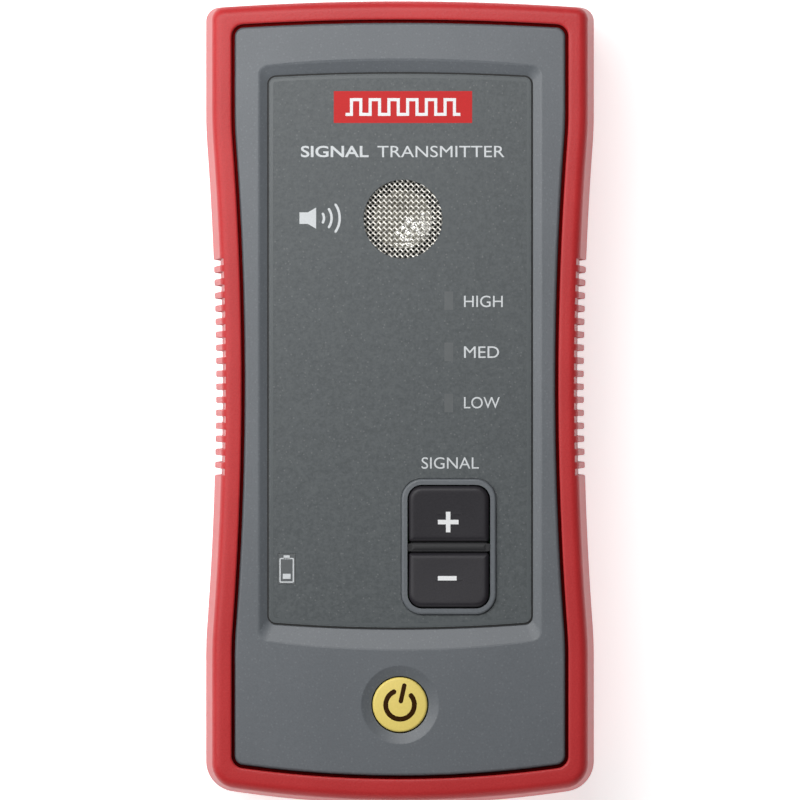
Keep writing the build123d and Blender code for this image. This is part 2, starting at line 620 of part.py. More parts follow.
with BuildPart() as transducer_base:
    base_radius = CAN_DIAMETER / 2 - CAN_WALL
    extrude(round_at(BOARD_TOP, SOUND_CENTRE, base_radius), amount=BASE_THICKNESS)
    extrude(round_at(BOARD_TOP, SOUND_CENTRE, PIEZO_SEAT_RADIUS), amount=PIEZO_BOTTOM - BOARD_TOP)
    extrude(round_at(BOARD_TOP + BASE_THICKNESS, SOUND_CENTRE, PIEZO_RADIUS - PIEZO_LEDGE),
            amount=PIEZO_BOTTOM - BOARD_TOP - BASE_THICKNESS, mode=Mode.SUBTRACT)
    for side in (-1, 1):
        pin_at = (SOUND_CENTRE[0] + side * PIN_SPACING / 2, SOUND_CENTRE[1])
        extrude(round_at(BOARD_TOP, pin_at, PIN_RADIUS), amount=BASE_THICKNESS, mode=Mode.SUBTRACT)
finish_part(transducer_base, "transducer_base")

with BuildPart() as transducer_pins:
    for side in (-1, 1):
        pin_at = (SOUND_CENTRE[0] + side * PIN_SPACING / 2, SOUND_CENTRE[1])
        extrude(round_at(BOARD_BOTTOM - PIN_STUB, pin_at, PIN_RADIUS),
                amount=BOARD_TOP + BASE_THICKNESS - BOARD_BOTTOM + 2 * PIN_STUB)
finish_part(transducer_pins, "transducer_pins")

with BuildPart() as piezo_disc:
    extrude(round_at(PIEZO_BOTTOM, SOUND_CENTRE, PIEZO_RADIUS), amount=PIEZO_TOP - PIEZO_BOTTOM)
finish_part(piezo_disc, "piezo_disc")

with BuildPart() as transducer_cone:
    cone_plane = Plane((*SOUND_CENTRE, 0), x_dir=(1, 0, 0), z_dir=(0, -1, 0))
    with BuildSketch(cone_plane):
        with BuildLine():
            Polyline(
                (0, PIEZO_TOP),
                (CONE_CENTRE_RADIUS, PIEZO_TOP),
                (CONE_CENTRE_RADIUS, CONE_CENTRE_Z),
                (CONE_RIM_RADIUS, CONE_RIM_Z),
                (CONE_RIM_RADIUS, CONE_RIM_Z + CONE_THICKNESS),
                (CONE_CENTRE_RADIUS, CONE_CENTRE_Z + CONE_THICKNESS),
                (0, CONE_CENTRE_Z + CONE_THICKNESS),
                close=True,
            )
        make_face()
    revolve(axis=Axis((*SOUND_CENTRE, 0), (0, 0, 1)))
finish_part(transducer_cone, "transducer_cone")

with BuildPart() as transducer_grommet:
    extrude(round_at(SOCKET_BOTTOM, SOUND_CENTRE, GROMMET_DIAMETER / 2), amount=CEILING_Z - SOCKET_BOTTOM)
    extrude(round_at(SOCKET_BOTTOM, SOUND_CENTRE, CAN_DIAMETER / 2),
            amount=CEILING_Z - SOCKET_BOTTOM, mode=Mode.SUBTRACT)
finish_part(transducer_grommet, "transducer_grommet")

# ---------------------------------------------------------------- circuit board and its components
with BuildPart() as circuit_board:
    board_centre = (0, (BOARD_UPPER_Y + BOARD_LOWER_Y) / 2)
    extrude(rectangle_at(BOARD_BOTTOM, board_centre, 2 * BOARD_HALF_WIDTH,
                         BOARD_UPPER_Y - BOARD_LOWER_Y, BOARD_CORNER), amount=BOARD_TOP - BOARD_BOTTOM)
    for centre in CASE_SCREWS:
        extrude(round_at(BOARD_BOTTOM, centre, CASE_BOSS_DIAMETER / 2 + BOSS_CLEARANCE),
                amount=BOARD_TOP - BOARD_BOTTOM, mode=Mode.SUBTRACT)
    for centre in BOARD_POSTS:
        extrude(round_at(BOARD_BOTTOM, centre, BOARD_SCREW_DIAMETER / 2 + CLEARANCE),
                amount=BOARD_TOP - BOARD_BOTTOM, mode=Mode.SUBTRACT)
    for side in (-1, 1):
        pin_at = (SOUND_CENTRE[0] + side * PIN_SPACING / 2, SOUND_CENTRE[1])
        extrude(round_at(BOARD_BOTTOM, pin_at, PIN_RADIUS + CLEARANCE),
                amount=BOARD_TOP - BOARD_BOTTOM, mode=Mode.SUBTRACT)
finish_part(circuit_board, "circuit_board")


def add_chip(centre, body, leads):
    """Adds one surface-mount package with a row of gull-wing leads along each long side."""
    width, length, height = body
    lead_height, lead_reach, lead_width = CHIP_LEAD
    extrude(rectangle_at(BOARD_TOP + lead_height / 2, centre, width, length), amount=height)
    for row in range(leads):
        y = centre[1] + (row - (leads - 1) / 2) * LEAD_PITCH
        lead_row = rectangle_at(BOARD_TOP, (centre[0], y), width + 2 * lead_reach, lead_width)
        extrude(lead_row, amount=lead_height)


with BuildPart() as microcontroller:
    add_chip(MICROCONTROLLER_CENTRE, MICROCONTROLLER_BODY, MICROCONTROLLER_LEADS)
finish_part(microcontroller, "microcontroller")

with BuildPart() as driver_chips:
    for centre in DRIVER_CENTRES:
        add_chip(centre, DRIVER_BODY, DRIVER_LEADS)
finish_part(driver_chips, "driver_chips")

with BuildPart() as transformer_core:
    core_width, core_length, core_height = CORE_SIZE
    extrude(rectangle_at(BOARD_BOTTOM - core_height, CORE_CENTRE, core_width, core_length),
            amount=core_height)
    winding_z = BOARD_BOTTOM - core_height / 2
    with Locations((*CORE_CENTRE, winding_z)):
        Box(WINDING_WIDTH, core_length, core_height - 2 * CORE_LIMB, mode=Mode.SUBTRACT)
    with Locations((*CORE_CENTRE, winding_z)):
        Cylinder(CORE_LEG_RADIUS, core_height)
finish_part(transformer_core, "transformer_core")

with BuildPart() as transformer_winding:
    with Locations((*CORE_CENTRE, winding_z)):
        Cylinder(WINDING_WIDTH / 2, core_height - 2 * CORE_LIMB)
        Cylinder(CORE_LEG_RADIUS, core_height - 2 * CORE_LIMB, mode=Mode.SUBTRACT)
finish_part(transformer_winding, "transformer_winding")

with BuildPart() as capacitors:
    radius, height = CAPACITOR_SIZE
    for centre in CAPACITOR_CENTRES:
        extrude(round_at(BOARD_BOTTOM - height, centre, radius), amount=height)
    can_ends = capacitors.faces().filter_by(Axis.Z).group_by(Axis.Z)[0]
    fillet(can_ends.edges(), CAPACITOR_EDGE)
finish_part(capacitors, "capacitors")

with BuildPart() as crystal:
    extrude(rectangle_at(BOARD_TOP, CRYSTAL_CENTRE, *CRYSTAL_SIZE[:2], CRYSTAL_CORNER),
            amount=CRYSTAL_SIZE[2])
finish_part(crystal, "crystal")

# ---------------------------------------------------------------- rear case
box_middle_y = (BOX_UPPER_Y + BOX_LOWER_Y) / 2
box_length = BOX_UPPER_Y - BOX_LOWER_Y
door_middle_y = (DOOR_UPPER_Y + DOOR_LOWER_Y) / 2
door_length = DOOR_UPPER_Y - DOOR_LOWER_Y

with BuildPart() as rear_case:
    add(rear_core.part)
    loft([case_outline(FLOOR_Z, inner_inset), case_outline(PARTING_Z, inner_inset)],
         ruled=True, mode=Mode.SUBTRACT)
    # seat for the case seal
    extrude(case_outline(PARTING_Z - SEAL_HEIGHT, SEAL_OUTER_INSET), amount=SEAL_HEIGHT,
            mode=Mode.SUBTRACT)
    for centre in CASE_SCREWS:
        extrude(round_at(BACK_Z, centre, CASE_BOSS_DIAMETER / 2), amount=PARTING_Z - BACK_Z)
    # battery box and the bosses for the door screws
    extrude(rectangle_at(BACK_Z, (0, box_middle_y), 2 * (BOX_HALF_WIDTH + BOX_WALL),
                         box_length + 2 * BOX_WALL), amount=BOX_CEILING + BOX_WALL - BACK_Z)
    for centre in DOOR_SCREWS.values():
        extrude(round_at(BACK_Z, centre, DOOR_BOSS_DIAMETER / 2), amount=DOOR_BOSS_TOP - BACK_Z)
    extrude(rectangle_at(BACK_Z, (0, box_middle_y), 2 * BOX_HALF_WIDTH, box_length),
            amount=BOX_CEILING - BACK_Z, mode=Mode.SUBTRACT)
    # recess for the door
    extrude(rectangle_at(BACK_Z, (0, door_middle_y), 2 * (DOOR_HALF_WIDTH + DOOR_GAP),
                         door_length + 2 * DOOR_GAP, DOOR_CORNER + DOOR_GAP),
            amount=DOOR_THICKNESS + CLEARANCE, mode=Mode.SUBTRACT)
    for centre in DOOR_SCREWS.values():
        extrude(round_at(BACK_Z, centre, INSERT_BORE / 2), amount=INSERT_BOTTOM - BACK_Z,
                mode=Mode.SUBTRACT)
        extrude(round_at(INSERT_BOTTOM, centre, INSERT_DIAMETER / 2), amount=INSERT_TOP - INSERT_BOTTOM,
                mode=Mode.SUBTRACT)
    for centre in CASE_SCREWS:
        extrude(round_at(BACK_Z, centre, COUNTERBORE_DIAMETER / 2), amount=COUNTERBORE_TOP - BACK_Z,
                mode=Mode.SUBTRACT)
        extrude(round_at(BACK_Z, centre, (CASE_SCREW_DIAMETER + CLEARANCE) / 2),
                amount=PARTING_Z - BACK_Z, mode=Mode.SUBTRACT)
    for x in (-TERMINAL_SPACING / 2, TERMINAL_SPACING / 2):
        extrude(rectangle_at(BOX_CEILING, (x, TAG_Y), *TAG_SLOT), amount=BOX_WALL, mode=Mode.SUBTRACT)
finish_part(rear_case, "rear_case")

with BuildPart() as case_seal:
    extrude(case_outline(PARTING_Z - SEAL_HEIGHT, SEAL_OUTER_INSET), amount=SEAL_HEIGHT)
    extrude(case_outline(PARTING_Z - SEAL_HEIGHT, SEAL_INNER_INSET), amount=SEAL_HEIGHT,
            mode=Mode.SUBTRACT)
finish_part(case_seal, "case_seal")

# ---------------------------------------------------------------- battery and its contacts
battery_top_y = BATTERY_LOWER_Y + BATTERY_SIZE[1]
battery_axis_z = BATTERY_Z + BATTERY_SIZE[2] / 2
battery_front = Plane((0, battery_top_y, battery_axis_z), x_dir=(1, 0, 0), z_dir=(0, 1, 0))
stud_x, socket_x = -TERMINAL_SPACING / 2, TERMINAL_SPACING / 2

with BuildPart() as battery:
    with BuildSketch(battery_front):
        RectangleRounded(BATTERY_SIZE[0], BATTERY_SIZE[2], BATTERY_CORNER)
    extrude(amount=-BATTERY_SIZE[1])
finish_part(battery, "battery")

with BuildPart() as battery_terminals:
    with BuildSketch(battery_front):
        with Locations((stud_x, 0)):
            Circle(STUD_RADIUS)
        with Locations((socket_x, 0)):
            Circle(SNAP_RADIUS)
            Circle(STUD_RADIUS + CLEARANCE, mode=Mode.SUBTRACT)
    extrude(amount=TERMINAL_HEIGHT)
finish_part(battery_terminals, "battery_terminals")

block_face = battery_front.offset(TERMINAL_HEIGHT)
with BuildPart() as snap_contacts:
    with BuildSketch(block_face):
        with Locations((stud_x, 0)):
            Circle(SNAP_RADIUS)
            Circle(STUD_RADIUS + CLEARANCE, mode=Mode.SUBTRACT)
        with Locations((socket_x, 0)):
            Circle(STUD_RADIUS)
    extrude(amount=-TERMINAL_HEIGHT + CLEARANCE)
finish_part(snap_contacts, "snap_contacts")

with BuildPart() as terminal_block:
    with BuildSketch(block_face):
        RectangleRounded(2 * BOX_HALF_WIDTH - 2 * CLEARANCE, BATTERY_SIZE[2], BLOCK_CORNER)
    extrude(amount=BLOCK_THICKNESS)
finish_part(terminal_block, "terminal_block")

with BuildPart() as contact_tags:
    tag_bottom = battery_axis_z
    for x in (stud_x, socket_x):
        tag_y = battery_top_y + TERMINAL_HEIGHT + BLOCK_THICKNESS + TAG_THICKNESS / 2
        extrude(rectangle_at(tag_bottom, (x, tag_y), TAG_WIDTH, TAG_THICKNESS),
                amount=BOARD_BOTTOM - tag_bottom)
finish_part(contact_tags, "contact_tags")

# ---------------------------------------------------------------- battery door
with BuildPart() as battery_door:
    extrude(rectangle_at(BACK_Z, (0, door_middle_y), 2 * DOOR_HALF_WIDTH, door_length, DOOR_CORNER),
            amount=DOOR_THICKNESS)
    fillet(battery_door.faces().sort_by(Axis.Z)[0].edges(), DOOR_EDGE_RADIUS)
    for centre in DOOR_SCREWS.values():
        extrude(round_at(BACK_Z, centre, DOOR_COUNTERBORE[0] / 2), amount=DOOR_COUNTERBORE[1],
                mode=Mode.SUBTRACT)
        extrude(round_at(BACK_Z, centre, INSERT_BORE / 2), amount=DOOR_THICKNESS, mode=Mode.SUBTRACT)
finish_part(battery_door, "battery_door")

with BuildPart() as battery_pad:
    pad_z = BACK_Z + DOOR_THICKNESS
    extrude(rectangle_at(pad_z, (0, BATTERY_LOWER_Y + BATTERY_SIZE[1] / 2), *PAD_SIZE, PAD_CORNER),
            amount=PAD_THICKNESS)
finish_part(battery_pad, "battery_pad")

head_diameter, head_height = DOOR_SCREW_HEAD
head_z = BACK_Z + DOOR_COUNTERBORE[1] - head_height
for screw_name, centre in DOOR_SCREWS.items():
    with BuildPart() as door_screw:
        extrude(round_at(head_z, centre, head_diameter / 2), amount=head_height)
        extrude(round_at(head_z, centre, DOOR_SCREW_DIAMETER / 2), amount=DOOR_SCREW_TIP - head_z)
        extrude(rectangle_at(head_z, centre, 2 * head_diameter, COIN_SLOT[0]), amount=COIN_SLOT[1],
                mode=Mode.SUBTRACT)
    finish_part(door_screw, screw_name)

with BuildPart() as door_inserts:
    for centre in DOOR_SCREWS.values():
        extrude(round_at(INSERT_BOTTOM, centre, INSERT_DIAMETER / 2), amount=INSERT_TOP - INSERT_BOTTOM)
        extrude(round_at(INSERT_BOTTOM, centre, INSERT_BORE / 2), amount=INSERT_TOP - INSERT_BOTTOM,
                mode=Mode.SUBTRACT)
finish_part(door_inserts, "door_inserts")


# ---------------------------------------------------------------- fasteners
def add_screw(centre, head_z, head, diameter, tip):
    """Adds one pan-head screw that points up, its drive recess open at the bottom."""
    head_diameter, head_height = head
    extrude(round_at(head_z, centre, head_diameter / 2), amount=head_height)
    extrude(round_at(head_z, centre, diameter / 2), amount=tip - head_z)
    with BuildSketch(Plane.XY.offset(head_z)) as drive:
        with Locations(centre):
            Rectangle(DRIVE_WIDTH, DRIVE_DIAMETER)
            Rectangle(DRIVE_DIAMETER, DRIVE_WIDTH)
    extrude(drive.sketch, amount=DRIVE_DEPTH, mode=Mode.SUBTRACT)


with BuildPart() as case_screws:
    for centre in CASE_SCREWS:
        add_screw(centre, COUNTERBORE_TOP - CASE_SCREW_HEAD[1], CASE_SCREW_HEAD,
                  CASE_SCREW_DIAMETER, CASE_SCREW_TIP)
finish_part(case_screws, "case_screws")

with BuildPart() as board_screws:
    for centre in BOARD_POSTS:
        add_screw(centre, BOARD_BOTTOM - BOARD_SCREW_HEAD[1], BOARD_SCREW_HEAD,
                  BOARD_SCREW_DIAMETER, BOARD_SCREW_TIP)
finish_part(board_screws, "board_screws")
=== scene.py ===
"""Looks of the hand-held signal transmitter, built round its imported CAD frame.

The tool lies on its back with its face up (+Z) and its top end towards +Y. Sizes are in
millimetres and become metres where a mesh is made.
"""
import json
from math import cos, pi, radians, sin

import bmesh
import bpy
import numpy as np
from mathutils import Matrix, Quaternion, Vector


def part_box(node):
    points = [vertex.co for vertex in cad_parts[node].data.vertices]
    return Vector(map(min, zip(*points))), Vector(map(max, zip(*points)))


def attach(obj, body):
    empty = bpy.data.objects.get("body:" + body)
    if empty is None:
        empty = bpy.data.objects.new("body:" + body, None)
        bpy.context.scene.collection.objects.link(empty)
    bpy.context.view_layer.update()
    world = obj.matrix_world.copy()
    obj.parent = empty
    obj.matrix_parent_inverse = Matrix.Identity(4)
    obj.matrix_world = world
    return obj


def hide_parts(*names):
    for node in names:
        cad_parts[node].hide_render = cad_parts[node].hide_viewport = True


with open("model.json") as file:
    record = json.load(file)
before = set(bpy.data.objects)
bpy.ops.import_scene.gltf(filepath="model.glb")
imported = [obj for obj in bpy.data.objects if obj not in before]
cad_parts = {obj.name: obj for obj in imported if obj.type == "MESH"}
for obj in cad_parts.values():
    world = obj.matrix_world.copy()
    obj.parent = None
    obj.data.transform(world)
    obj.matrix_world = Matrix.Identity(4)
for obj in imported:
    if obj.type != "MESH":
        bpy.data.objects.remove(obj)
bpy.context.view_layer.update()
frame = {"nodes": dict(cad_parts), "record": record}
nodes = frame["nodes"]
scene = bpy.context.scene
MM = 0.001

# ------------------------------------------------------------------ sizes, in millimetres
BODY_LENGTH, BODY_WIDTH, WAIST_WIDTH, BODY_DEPTH = 165.5, 80.0, 75.9, 38.0
PARTING_Z, DRAFT = 18.0, 1.8
DRAFTS = np.array([DRAFT, 1.0, DRAFT])    # of the bumper's outside: sides, top end and bottom end
WAIST_Y, WAIST_REACH = 3.6, 52.6         # the waist's middle, and how far its arc runs each way
SHOULDER_BLEND = 0.24                    # how far apart arc and straight end still ease together
TOP_ARC_RADIUS, BOTTOM_ARC_RADIUS = 540.0, 233.0
TOP_EASE = 0.045                         # keeps the top end's widest rows inside the CAD box
PARTING_CORNERS, RIM_CORNERS = (2.8, 6.3), (2.6, 5.0)    # radii at the top and bottom end
WALL_CORNERS = (2.2, 3.6)                # of the wall's inside
FACE_INSETS = (6.3, 5.35, 6.65)          # side, top and bottom
FACE_CORNER = 1.9
SEAM_WIDTH, SEAM_DEPTH = 0.62, 1.4       # of the dark gap between bumper and case
SEAM_LIP = 0.25                          # how far below the rim's inner round the gap's painted shade is full
RIM_ROUND, RIM_INNER_ROUND, RIM_THICKNESS = 2.0, 0.4, 2.2
BUMPER_WALL = 2.6
PARTING_GROOVE = (0.3, 0.25)             # half its height and its depth
MIN_CORNER = 0.6                         # no corner of the bumper is sharper

RIB_PITCH, RIB_NOTCHES, RIB_TOP_Y = 2.68, 17, 28.7
NOTCH_WIDTH, NOTCH_DEPTH, NOTCH_DEPTH_AT_RIM = 1.35, 1.4, 0.7
TOOTH_ROUND, NOTCH_FLOOR_ROUND = 0.34, 0.25


def box_mm(*names):
    """Lowest and highest corners of one or more CAD nodes together, in millimetres."""
    corners = np.array([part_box(name) for name in names]) / MM
    return corners[:, 0].min(0), corners[:, 1].max(0)


# ------------------------------------------------------------------ camera
CAMERA_RANGE = 1650.0        # from the parting line
FRAME_HEIGHT = 164.97        # what the frame takes in at the parting line
FRAME_SHIFT_Y = 0.52         # the frame's middle lies this far above the body's

camera_data = bpy.data.cameras.new("camera")
camera_data.sensor_width = 36.0
camera_data.lens = camera_data.sensor_width * CAMERA_RANGE / FRAME_HEIGHT
camera_data.clip_end = 10.0
camera = bpy.data.objects.new("camera", camera_data)
camera.location = (0, FRAME_SHIFT_Y * MM, (PARTING_Z + CAMERA_RANGE) * MM)
scene.collection.objects.link(camera)
scene.camera = camera
scene.view_settings.view_transform = "Standard"


# ------------------------------------------------------------------ shader maths
class Socket:
    """A node's output. Its operators add Math nodes, with plain numbers on either side."""

    def __init__(self, finish, output):
        self.finish, self.output = finish, output

    def math(self, operation, first, second):
        return self.finish.node("ShaderNodeMath", {"operation": operation}, {0: first, 1: second})

    def __add__(self, other):
        return self.math("ADD", self, other)

    def __sub__(self, other):
        return self.math("SUBTRACT", self, other)

    def __rsub__(self, other):
        return self.math("SUBTRACT", other, self)

    def __mul__(self, other):
        return self.math("MULTIPLY", self, other)

    __radd__, __rmul__ = __add__, __mul__

    def between(self, low, high):
        """0 at low, 1 at high, eased between and held beyond."""
        return self.finish.node(
            "ShaderNodeMapRange", {"interpolation_type": "SMOOTHSTEP"},
            {"Value": self, "From Min": low, "From Max": high})


class Finish:
    """One material: a Principled shader and the nodes that feed it."""

    def __init__(self, name, constants):
        self.material = bpy.data.materials.new(name)
        self.material.use_nodes = True
        self.tree = self.material.node_tree
        self.shader = self.tree.nodes["Principled BSDF"]
        self.place = self.node("ShaderNodeTexCoord", {}, {}, "Object")
        self.feed(self.shader, constants)

    def feed(self, node, sockets):
        """Sets or links a node's sockets by name or number."""
        for key, value in sockets.items():
            if isinstance(value, Socket):
                self.tree.links.new(value.output, node.inputs[key])
            elif node.inputs[key].type == "RGBA":
                node.inputs[key].default_value = (*value, 1.0)
            else:
                node.inputs[key].default_value = value

    def node(self, kind, settings, sockets, output=0):
        """Any node: its settings first, then its sockets, and the output to go on with."""
        made = self.tree.nodes.new(kind)
        for name, value in settings.items():
            setattr(made, name, value)
        self.feed(made, sockets)
        return Socket(self, made.outputs[output])

    def mix(self, factor, first, second):
        """A colour between two colours."""
        return self.node(
            "ShaderNodeMix", {"data_type": "RGBA"}, {0: factor, 6: first, 7: second}, 2)

    def noise(self, size, detail=2.0, stretch=(1, 1, 1)):
        """Noise about 0.5 whose blobs are about size millimetres across, drawn out by stretch."""
        scaled = tuple(1 / (size * MM * factor) for factor in stretch)
        at = self.node("ShaderNodeMapping", {}, {"Vector": self.place, "Scale": scaled})
        return self.node("ShaderNodeTexNoise", {}, {"Vector": at, "Scale": 1.0, "Detail": detail})

    def cells(self, size):
        """Distance to the nearest of scattered points about size millimetres apart, in sizes."""
        scale = 1 / (size * MM)
        return self.node("ShaderNodeTexVoronoi", {}, {"Vector": self.place, "Scale": scale})

    def stripes(self, axis, pitch):
        """Sine waves from 0 to 1 along one axis, pitch millimetres apart: the node's own waves are
        2 pi / 20 of a unit long."""
        settings = {"wave_type": "BANDS", "bands_direction": axis, "wave_profile": "SIN"}
        scale = 2 * pi / (20 * pitch * MM)
        return self.node("ShaderNodeTexWave", settings, {"Vector": self.place, "Scale": scale})

    def bump(self, height, depth, under=None):
        """A normal from a height between 0 and 1 that stands for depth millimetres."""
        sockets = {"Height": height, "Distance": depth * MM}
        if under is not None:
            sockets["Normal"] = under
        return self.node("ShaderNodeBump", {}, sockets)


def shade(colour, factor):
    """The colour made lighter or darker."""
    return tuple(min(1.0, part * factor) for part in colour)


# ------------------------------------------------------------------ finishes
def moulded(name, colour, roughness, grain=0.35, depth=0.02, mottle=0.07, glint=0.5):
    """Moulded plastic or rubber: sparked grain, faint clouds of shade, roughness that wanders."""
    finish = Finish(name, {"Specular IOR Level": glint})
    speck, cloud = finish.noise(grain, 3.0), finish.noise(14.0, 2.0)
    tint = (0.55 * speck + 0.45 * cloud).between(0.3, 0.7)
    finish.feed(finish.shader, {
        "Base Color": finish.mix(tint, shade(colour, 1 - mottle), shade(colour, 1 + mottle)),
        "Roughness": (roughness - 0.06) + 0.12 * speck,
        "Normal": finish.bump(speck, depth)})
    return finish.material


def metal(name, colour, roughness, grain=0.5, depth=0.004, stretch=(1, 1, 1)):
    """Metal with fine drawn or blasted marks and faint clouds of tarnish."""
    finish = Finish(name, {"Metallic": 1.0})
    mark, cloud = finish.noise(grain, 3.0, stretch), finish.noise(3.0, 3.0)
    finish.feed(finish.shader, {
        "Base Color": finish.mix(cloud.between(0.35, 0.75), colour, shade(colour, 0.78)),
        "Roughness": (roughness - 0.08) + 0.16 * mark,
        "Normal": finish.bump(mark, depth)})
    return finish.material


def red_rubber():
    """Soft-touch red moulding: fine sparked grain over a faintly clouded red, with painted shade
    down in the seam:
    where the piece's seam attribute rises to 1 the red is painted near black and made metallic,
    which takes the white glint away."""
    finish = Finish("red_rubber", {"Specular IOR Level": 0.4})
    grain, pits, cloud = finish.noise(0.33, 3.0), finish.cells(0.5), finish.noise(18.0, 2.0)
    seam = finish.node("ShaderNodeAttribute", {"attribute_name": "seam"}, {}, "Fac")
    tint = 0.6 * grain + 0.4 * cloud
    red = finish.mix(tint.between(0.3, 0.7), (0.51, 0.024, 0.027), (0.59, 0.033, 0.036))
    coarse = finish.bump(pits, 0.016)
    finish.feed(finish.shader, {
        # painted shade: in the seam the red turns near black and metallic, standing in for shadow
        # deep in the gap
        "Base Color": finish.mix(seam.between(0.1, 1.0), red, (0.060, 0.001, 0.001)),
        "Metallic": seam.between(0.1, 1.0),
        "Roughness": 0.36 + 0.14 * grain,
        "Normal": finish.bump(grain, 0.02, coarse)})
    return finish.material


def grey_plastic():
    """Hard grey case: sparked grain with scattered lighter points."""
    finish = Finish("grey_plastic", {"Specular IOR Level": 0.6})
    grain, cloud, points = finish.noise(0.4, 3.0), finish.noise(16.0, 2.0), finish.cells(0.9)
    tint = 0.6 * grain + 0.4 * cloud
    base = finish.mix(tint.between(0.3, 0.7), (0.122, 0.135, 0.149), (0.143, 0.157, 0.173))
    finish.feed(finish.shader, {
        "Base Color": finish.mix(0.35 * (1 - points.between(0.08, 0.3)), base, (0.22, 0.235, 0.25)),
        "Roughness": 0.39 + 0.14 * grain,
        "Normal": finish.bump(grain, 0.024)})
    return finish.material


def panel_film():
    """Printed film with a pebbled finish: pale and dark specks on a dark grey."""
    finish = Finish("panel_film", {})
    grain, pebble, points = finish.noise(0.5, 4.0), finish.noise(1.3, 2.0), finish.cells(1.1)
    tint = 0.65 * grain + 0.35 * pebble
    base = finish.mix(tint.between(0.32, 0.68), (0.072, 0.083, 0.088), (0.102, 0.115, 0.120))
    finish.feed(finish.shader, {
        "Base Color": finish.mix(0.5 * (1 - points.between(0.06, 0.22)), base, (0.20, 0.21, 0.215)),
        "Roughness": 0.36 + 0.2 * grain,
        "Normal": finish.bump(tint, 0.05)})
    return finish.material


def pale_paper():
    """Doped paper cone: fibres over a pale beige, with a lacquer that takes a highlight."""
    finish = Finish("pale_paper", {"Coat Roughness": 0.07, "Coat IOR": 4.0})
    fibre, cloud = finish.noise(0.25, 4.0, (1, 3, 1)), finish.noise(2.5, 2.0)
    tint = 0.5 * fibre + 0.5 * cloud
    finish.feed(finish.shader, {
        "Base Color": finish.mix(tint.between(0.3, 0.7), (0.26, 0.24, 0.18), (0.34, 0.32, 0.25)),
        "Roughness": 0.45 + 0.1 * fibre,
        "Coat Weight": 0.9 + 0.1 * cloud,
        "Normal": finish.bump(fibre, 0.001)})
    return finish.material


def board_mask():
    """Circuit board: green solder mask over copper tracks, which show as paler raised lines."""
    finish = Finish("board_mask", {})
    tracks = finish.node("ShaderNodeTexBrick", {"offset": 0.35, "squash": 0.6}, {
        "Vector": finish.place, "Scale": 1 / (40 * MM), "Mortar Size": 0.008, "Mortar Smooth": 0.2,
        "Brick Width": 0.35, "Row Height": 0.09}, 1)
    cloud = finish.noise(6.0, 2.0)
    mask = finish.mix(cloud, (0.016, 0.095, 0.032), (0.024, 0.13, 0.045))
    finish.feed(finish.shader, {
        "Base Color": finish.mix(tracks, mask, (0.06, 0.26, 0.08)),
        "Roughness": 0.22 + 0.12 * cloud,
        "Normal": finish.bump(tracks, 0.035)})
    return finish.material


def wound_copper():
    """Enamelled wire in even turns round the core."""
    finish = Finish("wound_copper", {"Metallic": 1.0})
    turns = finish.stripes("Z", 0.42)
    finish.feed(finish.shader, {
        "Base Color": finish.mix(turns, (0.22, 0.07, 0.02), (0.72, 0.30, 0.12)),
        "Roughness": 0.4 - 0.15 * turns,
        "Normal": finish.bump(turns, 0.15)})
    return finish.material


def smoked_window():
    """Smoked lamp window: smooth, a shade off the film round it."""
    finish = Finish("smoked_window", {})
    haze = finish.noise(1.2, 3.0)
    finish.feed(finish.shader, {
        "Base Color": finish.mix(haze, (0.108, 0.118, 0.122), (0.130, 0.141, 0.146)),
        "Roughness": 0.30 + 0.12 * haze,
        "Normal": finish.bump(haze, 0.01)})
    return finish.material


def printed_ink(name, colour, glint=0.5):
    """Screen-printed ink: slightly uneven cover and a satin film."""
    finish = Finish(name, {"Specular IOR Level": glint})
    cover = finish.noise(0.3, 3.0)
    finish.feed(finish.shader, {
        "Base Color": finish.mix(cover.between(0.25, 0.75), shade(colour, 0.92), colour),
        "Roughness": 0.42 + 0.1 * cover,
        "Normal": finish.bump(cover, 0.008)})
    return finish.material


def foam():
    """Closed-cell foam: small open pores."""
    finish = Finish("foam", {})
    pores = finish.cells(0.8)
    finish.feed(finish.shader, {
        "Base Color": finish.mix(
            pores.between(0.0, 0.5), (0.015, 0.015, 0.015), (0.06, 0.06, 0.06)),
        "Roughness": 0.95 - 0.1 * pores,
        "Normal": finish.bump(pores, 0.2)})
    return finish.material


FINISHES = {
    "red_bumper": red_rubber(),
    "grey_case": grey_plastic(),
    "panel_film": panel_film(),
    "grille_wire": metal("woven_steel", (0.96, 0.94, 0.88), 0.42, 0.3, 0.004),
    "aluminium_can": metal("drawn_aluminium", (0.80, 0.80, 0.78), 0.3, 0.4, 0.006, (1, 1, 8)),
    "pale_cone": pale_paper(),
    "brass_plate": metal("turned_brass", (0.72, 0.53, 0.25), 0.3, 0.3, 0.004),
    "black_plastic": moulded("black_plastic", (0.022, 0.022, 0.024), 0.5),
    "steel": metal("plated_steel", (0.66, 0.66, 0.67), 0.28, 0.35, 0.006),
    "black_rubber": moulded("black_rubber", (0.02, 0.02, 0.02), 0.75),
    "smoked_window": smoked_window(),
    "lamp_white": moulded("lamp_lens", (0.80, 0.80, 0.72), 0.25, 0.6, 0.01, 0.05),
    "dark_key": moulded("dark_key", (0.023, 0.021, 0.026), 0.5, 0.4, 0.022, 0.12, 0.4),
    "mat_silicone": moulded("mat_silicone", (0.018, 0.018, 0.020), 0.6),
    "yellow_key": moulded("yellow_key", (0.93, 0.74, 0.19), 0.45, 0.4, 0.014, 0.04),
    "carbon_pill": moulded("carbon_pill", (0.010, 0.010, 0.010), 0.85, 0.2, 0.03),
    "board_green": board_mask(),
    "ferrite": moulded("ferrite", (0.045, 0.045, 0.05), 0.55, 0.5, 0.03, 0.2),
    "copper_wire": wound_copper(),
    "battery_jacket": metal("battery_jacket", (0.30, 0.31, 0.33), 0.38, 0.6, 0.004, (1, 6, 1)),
    "foam_pad": foam(),
}
WHITE_INK = printed_ink("white_ink", (0.95, 0.96, 0.97))
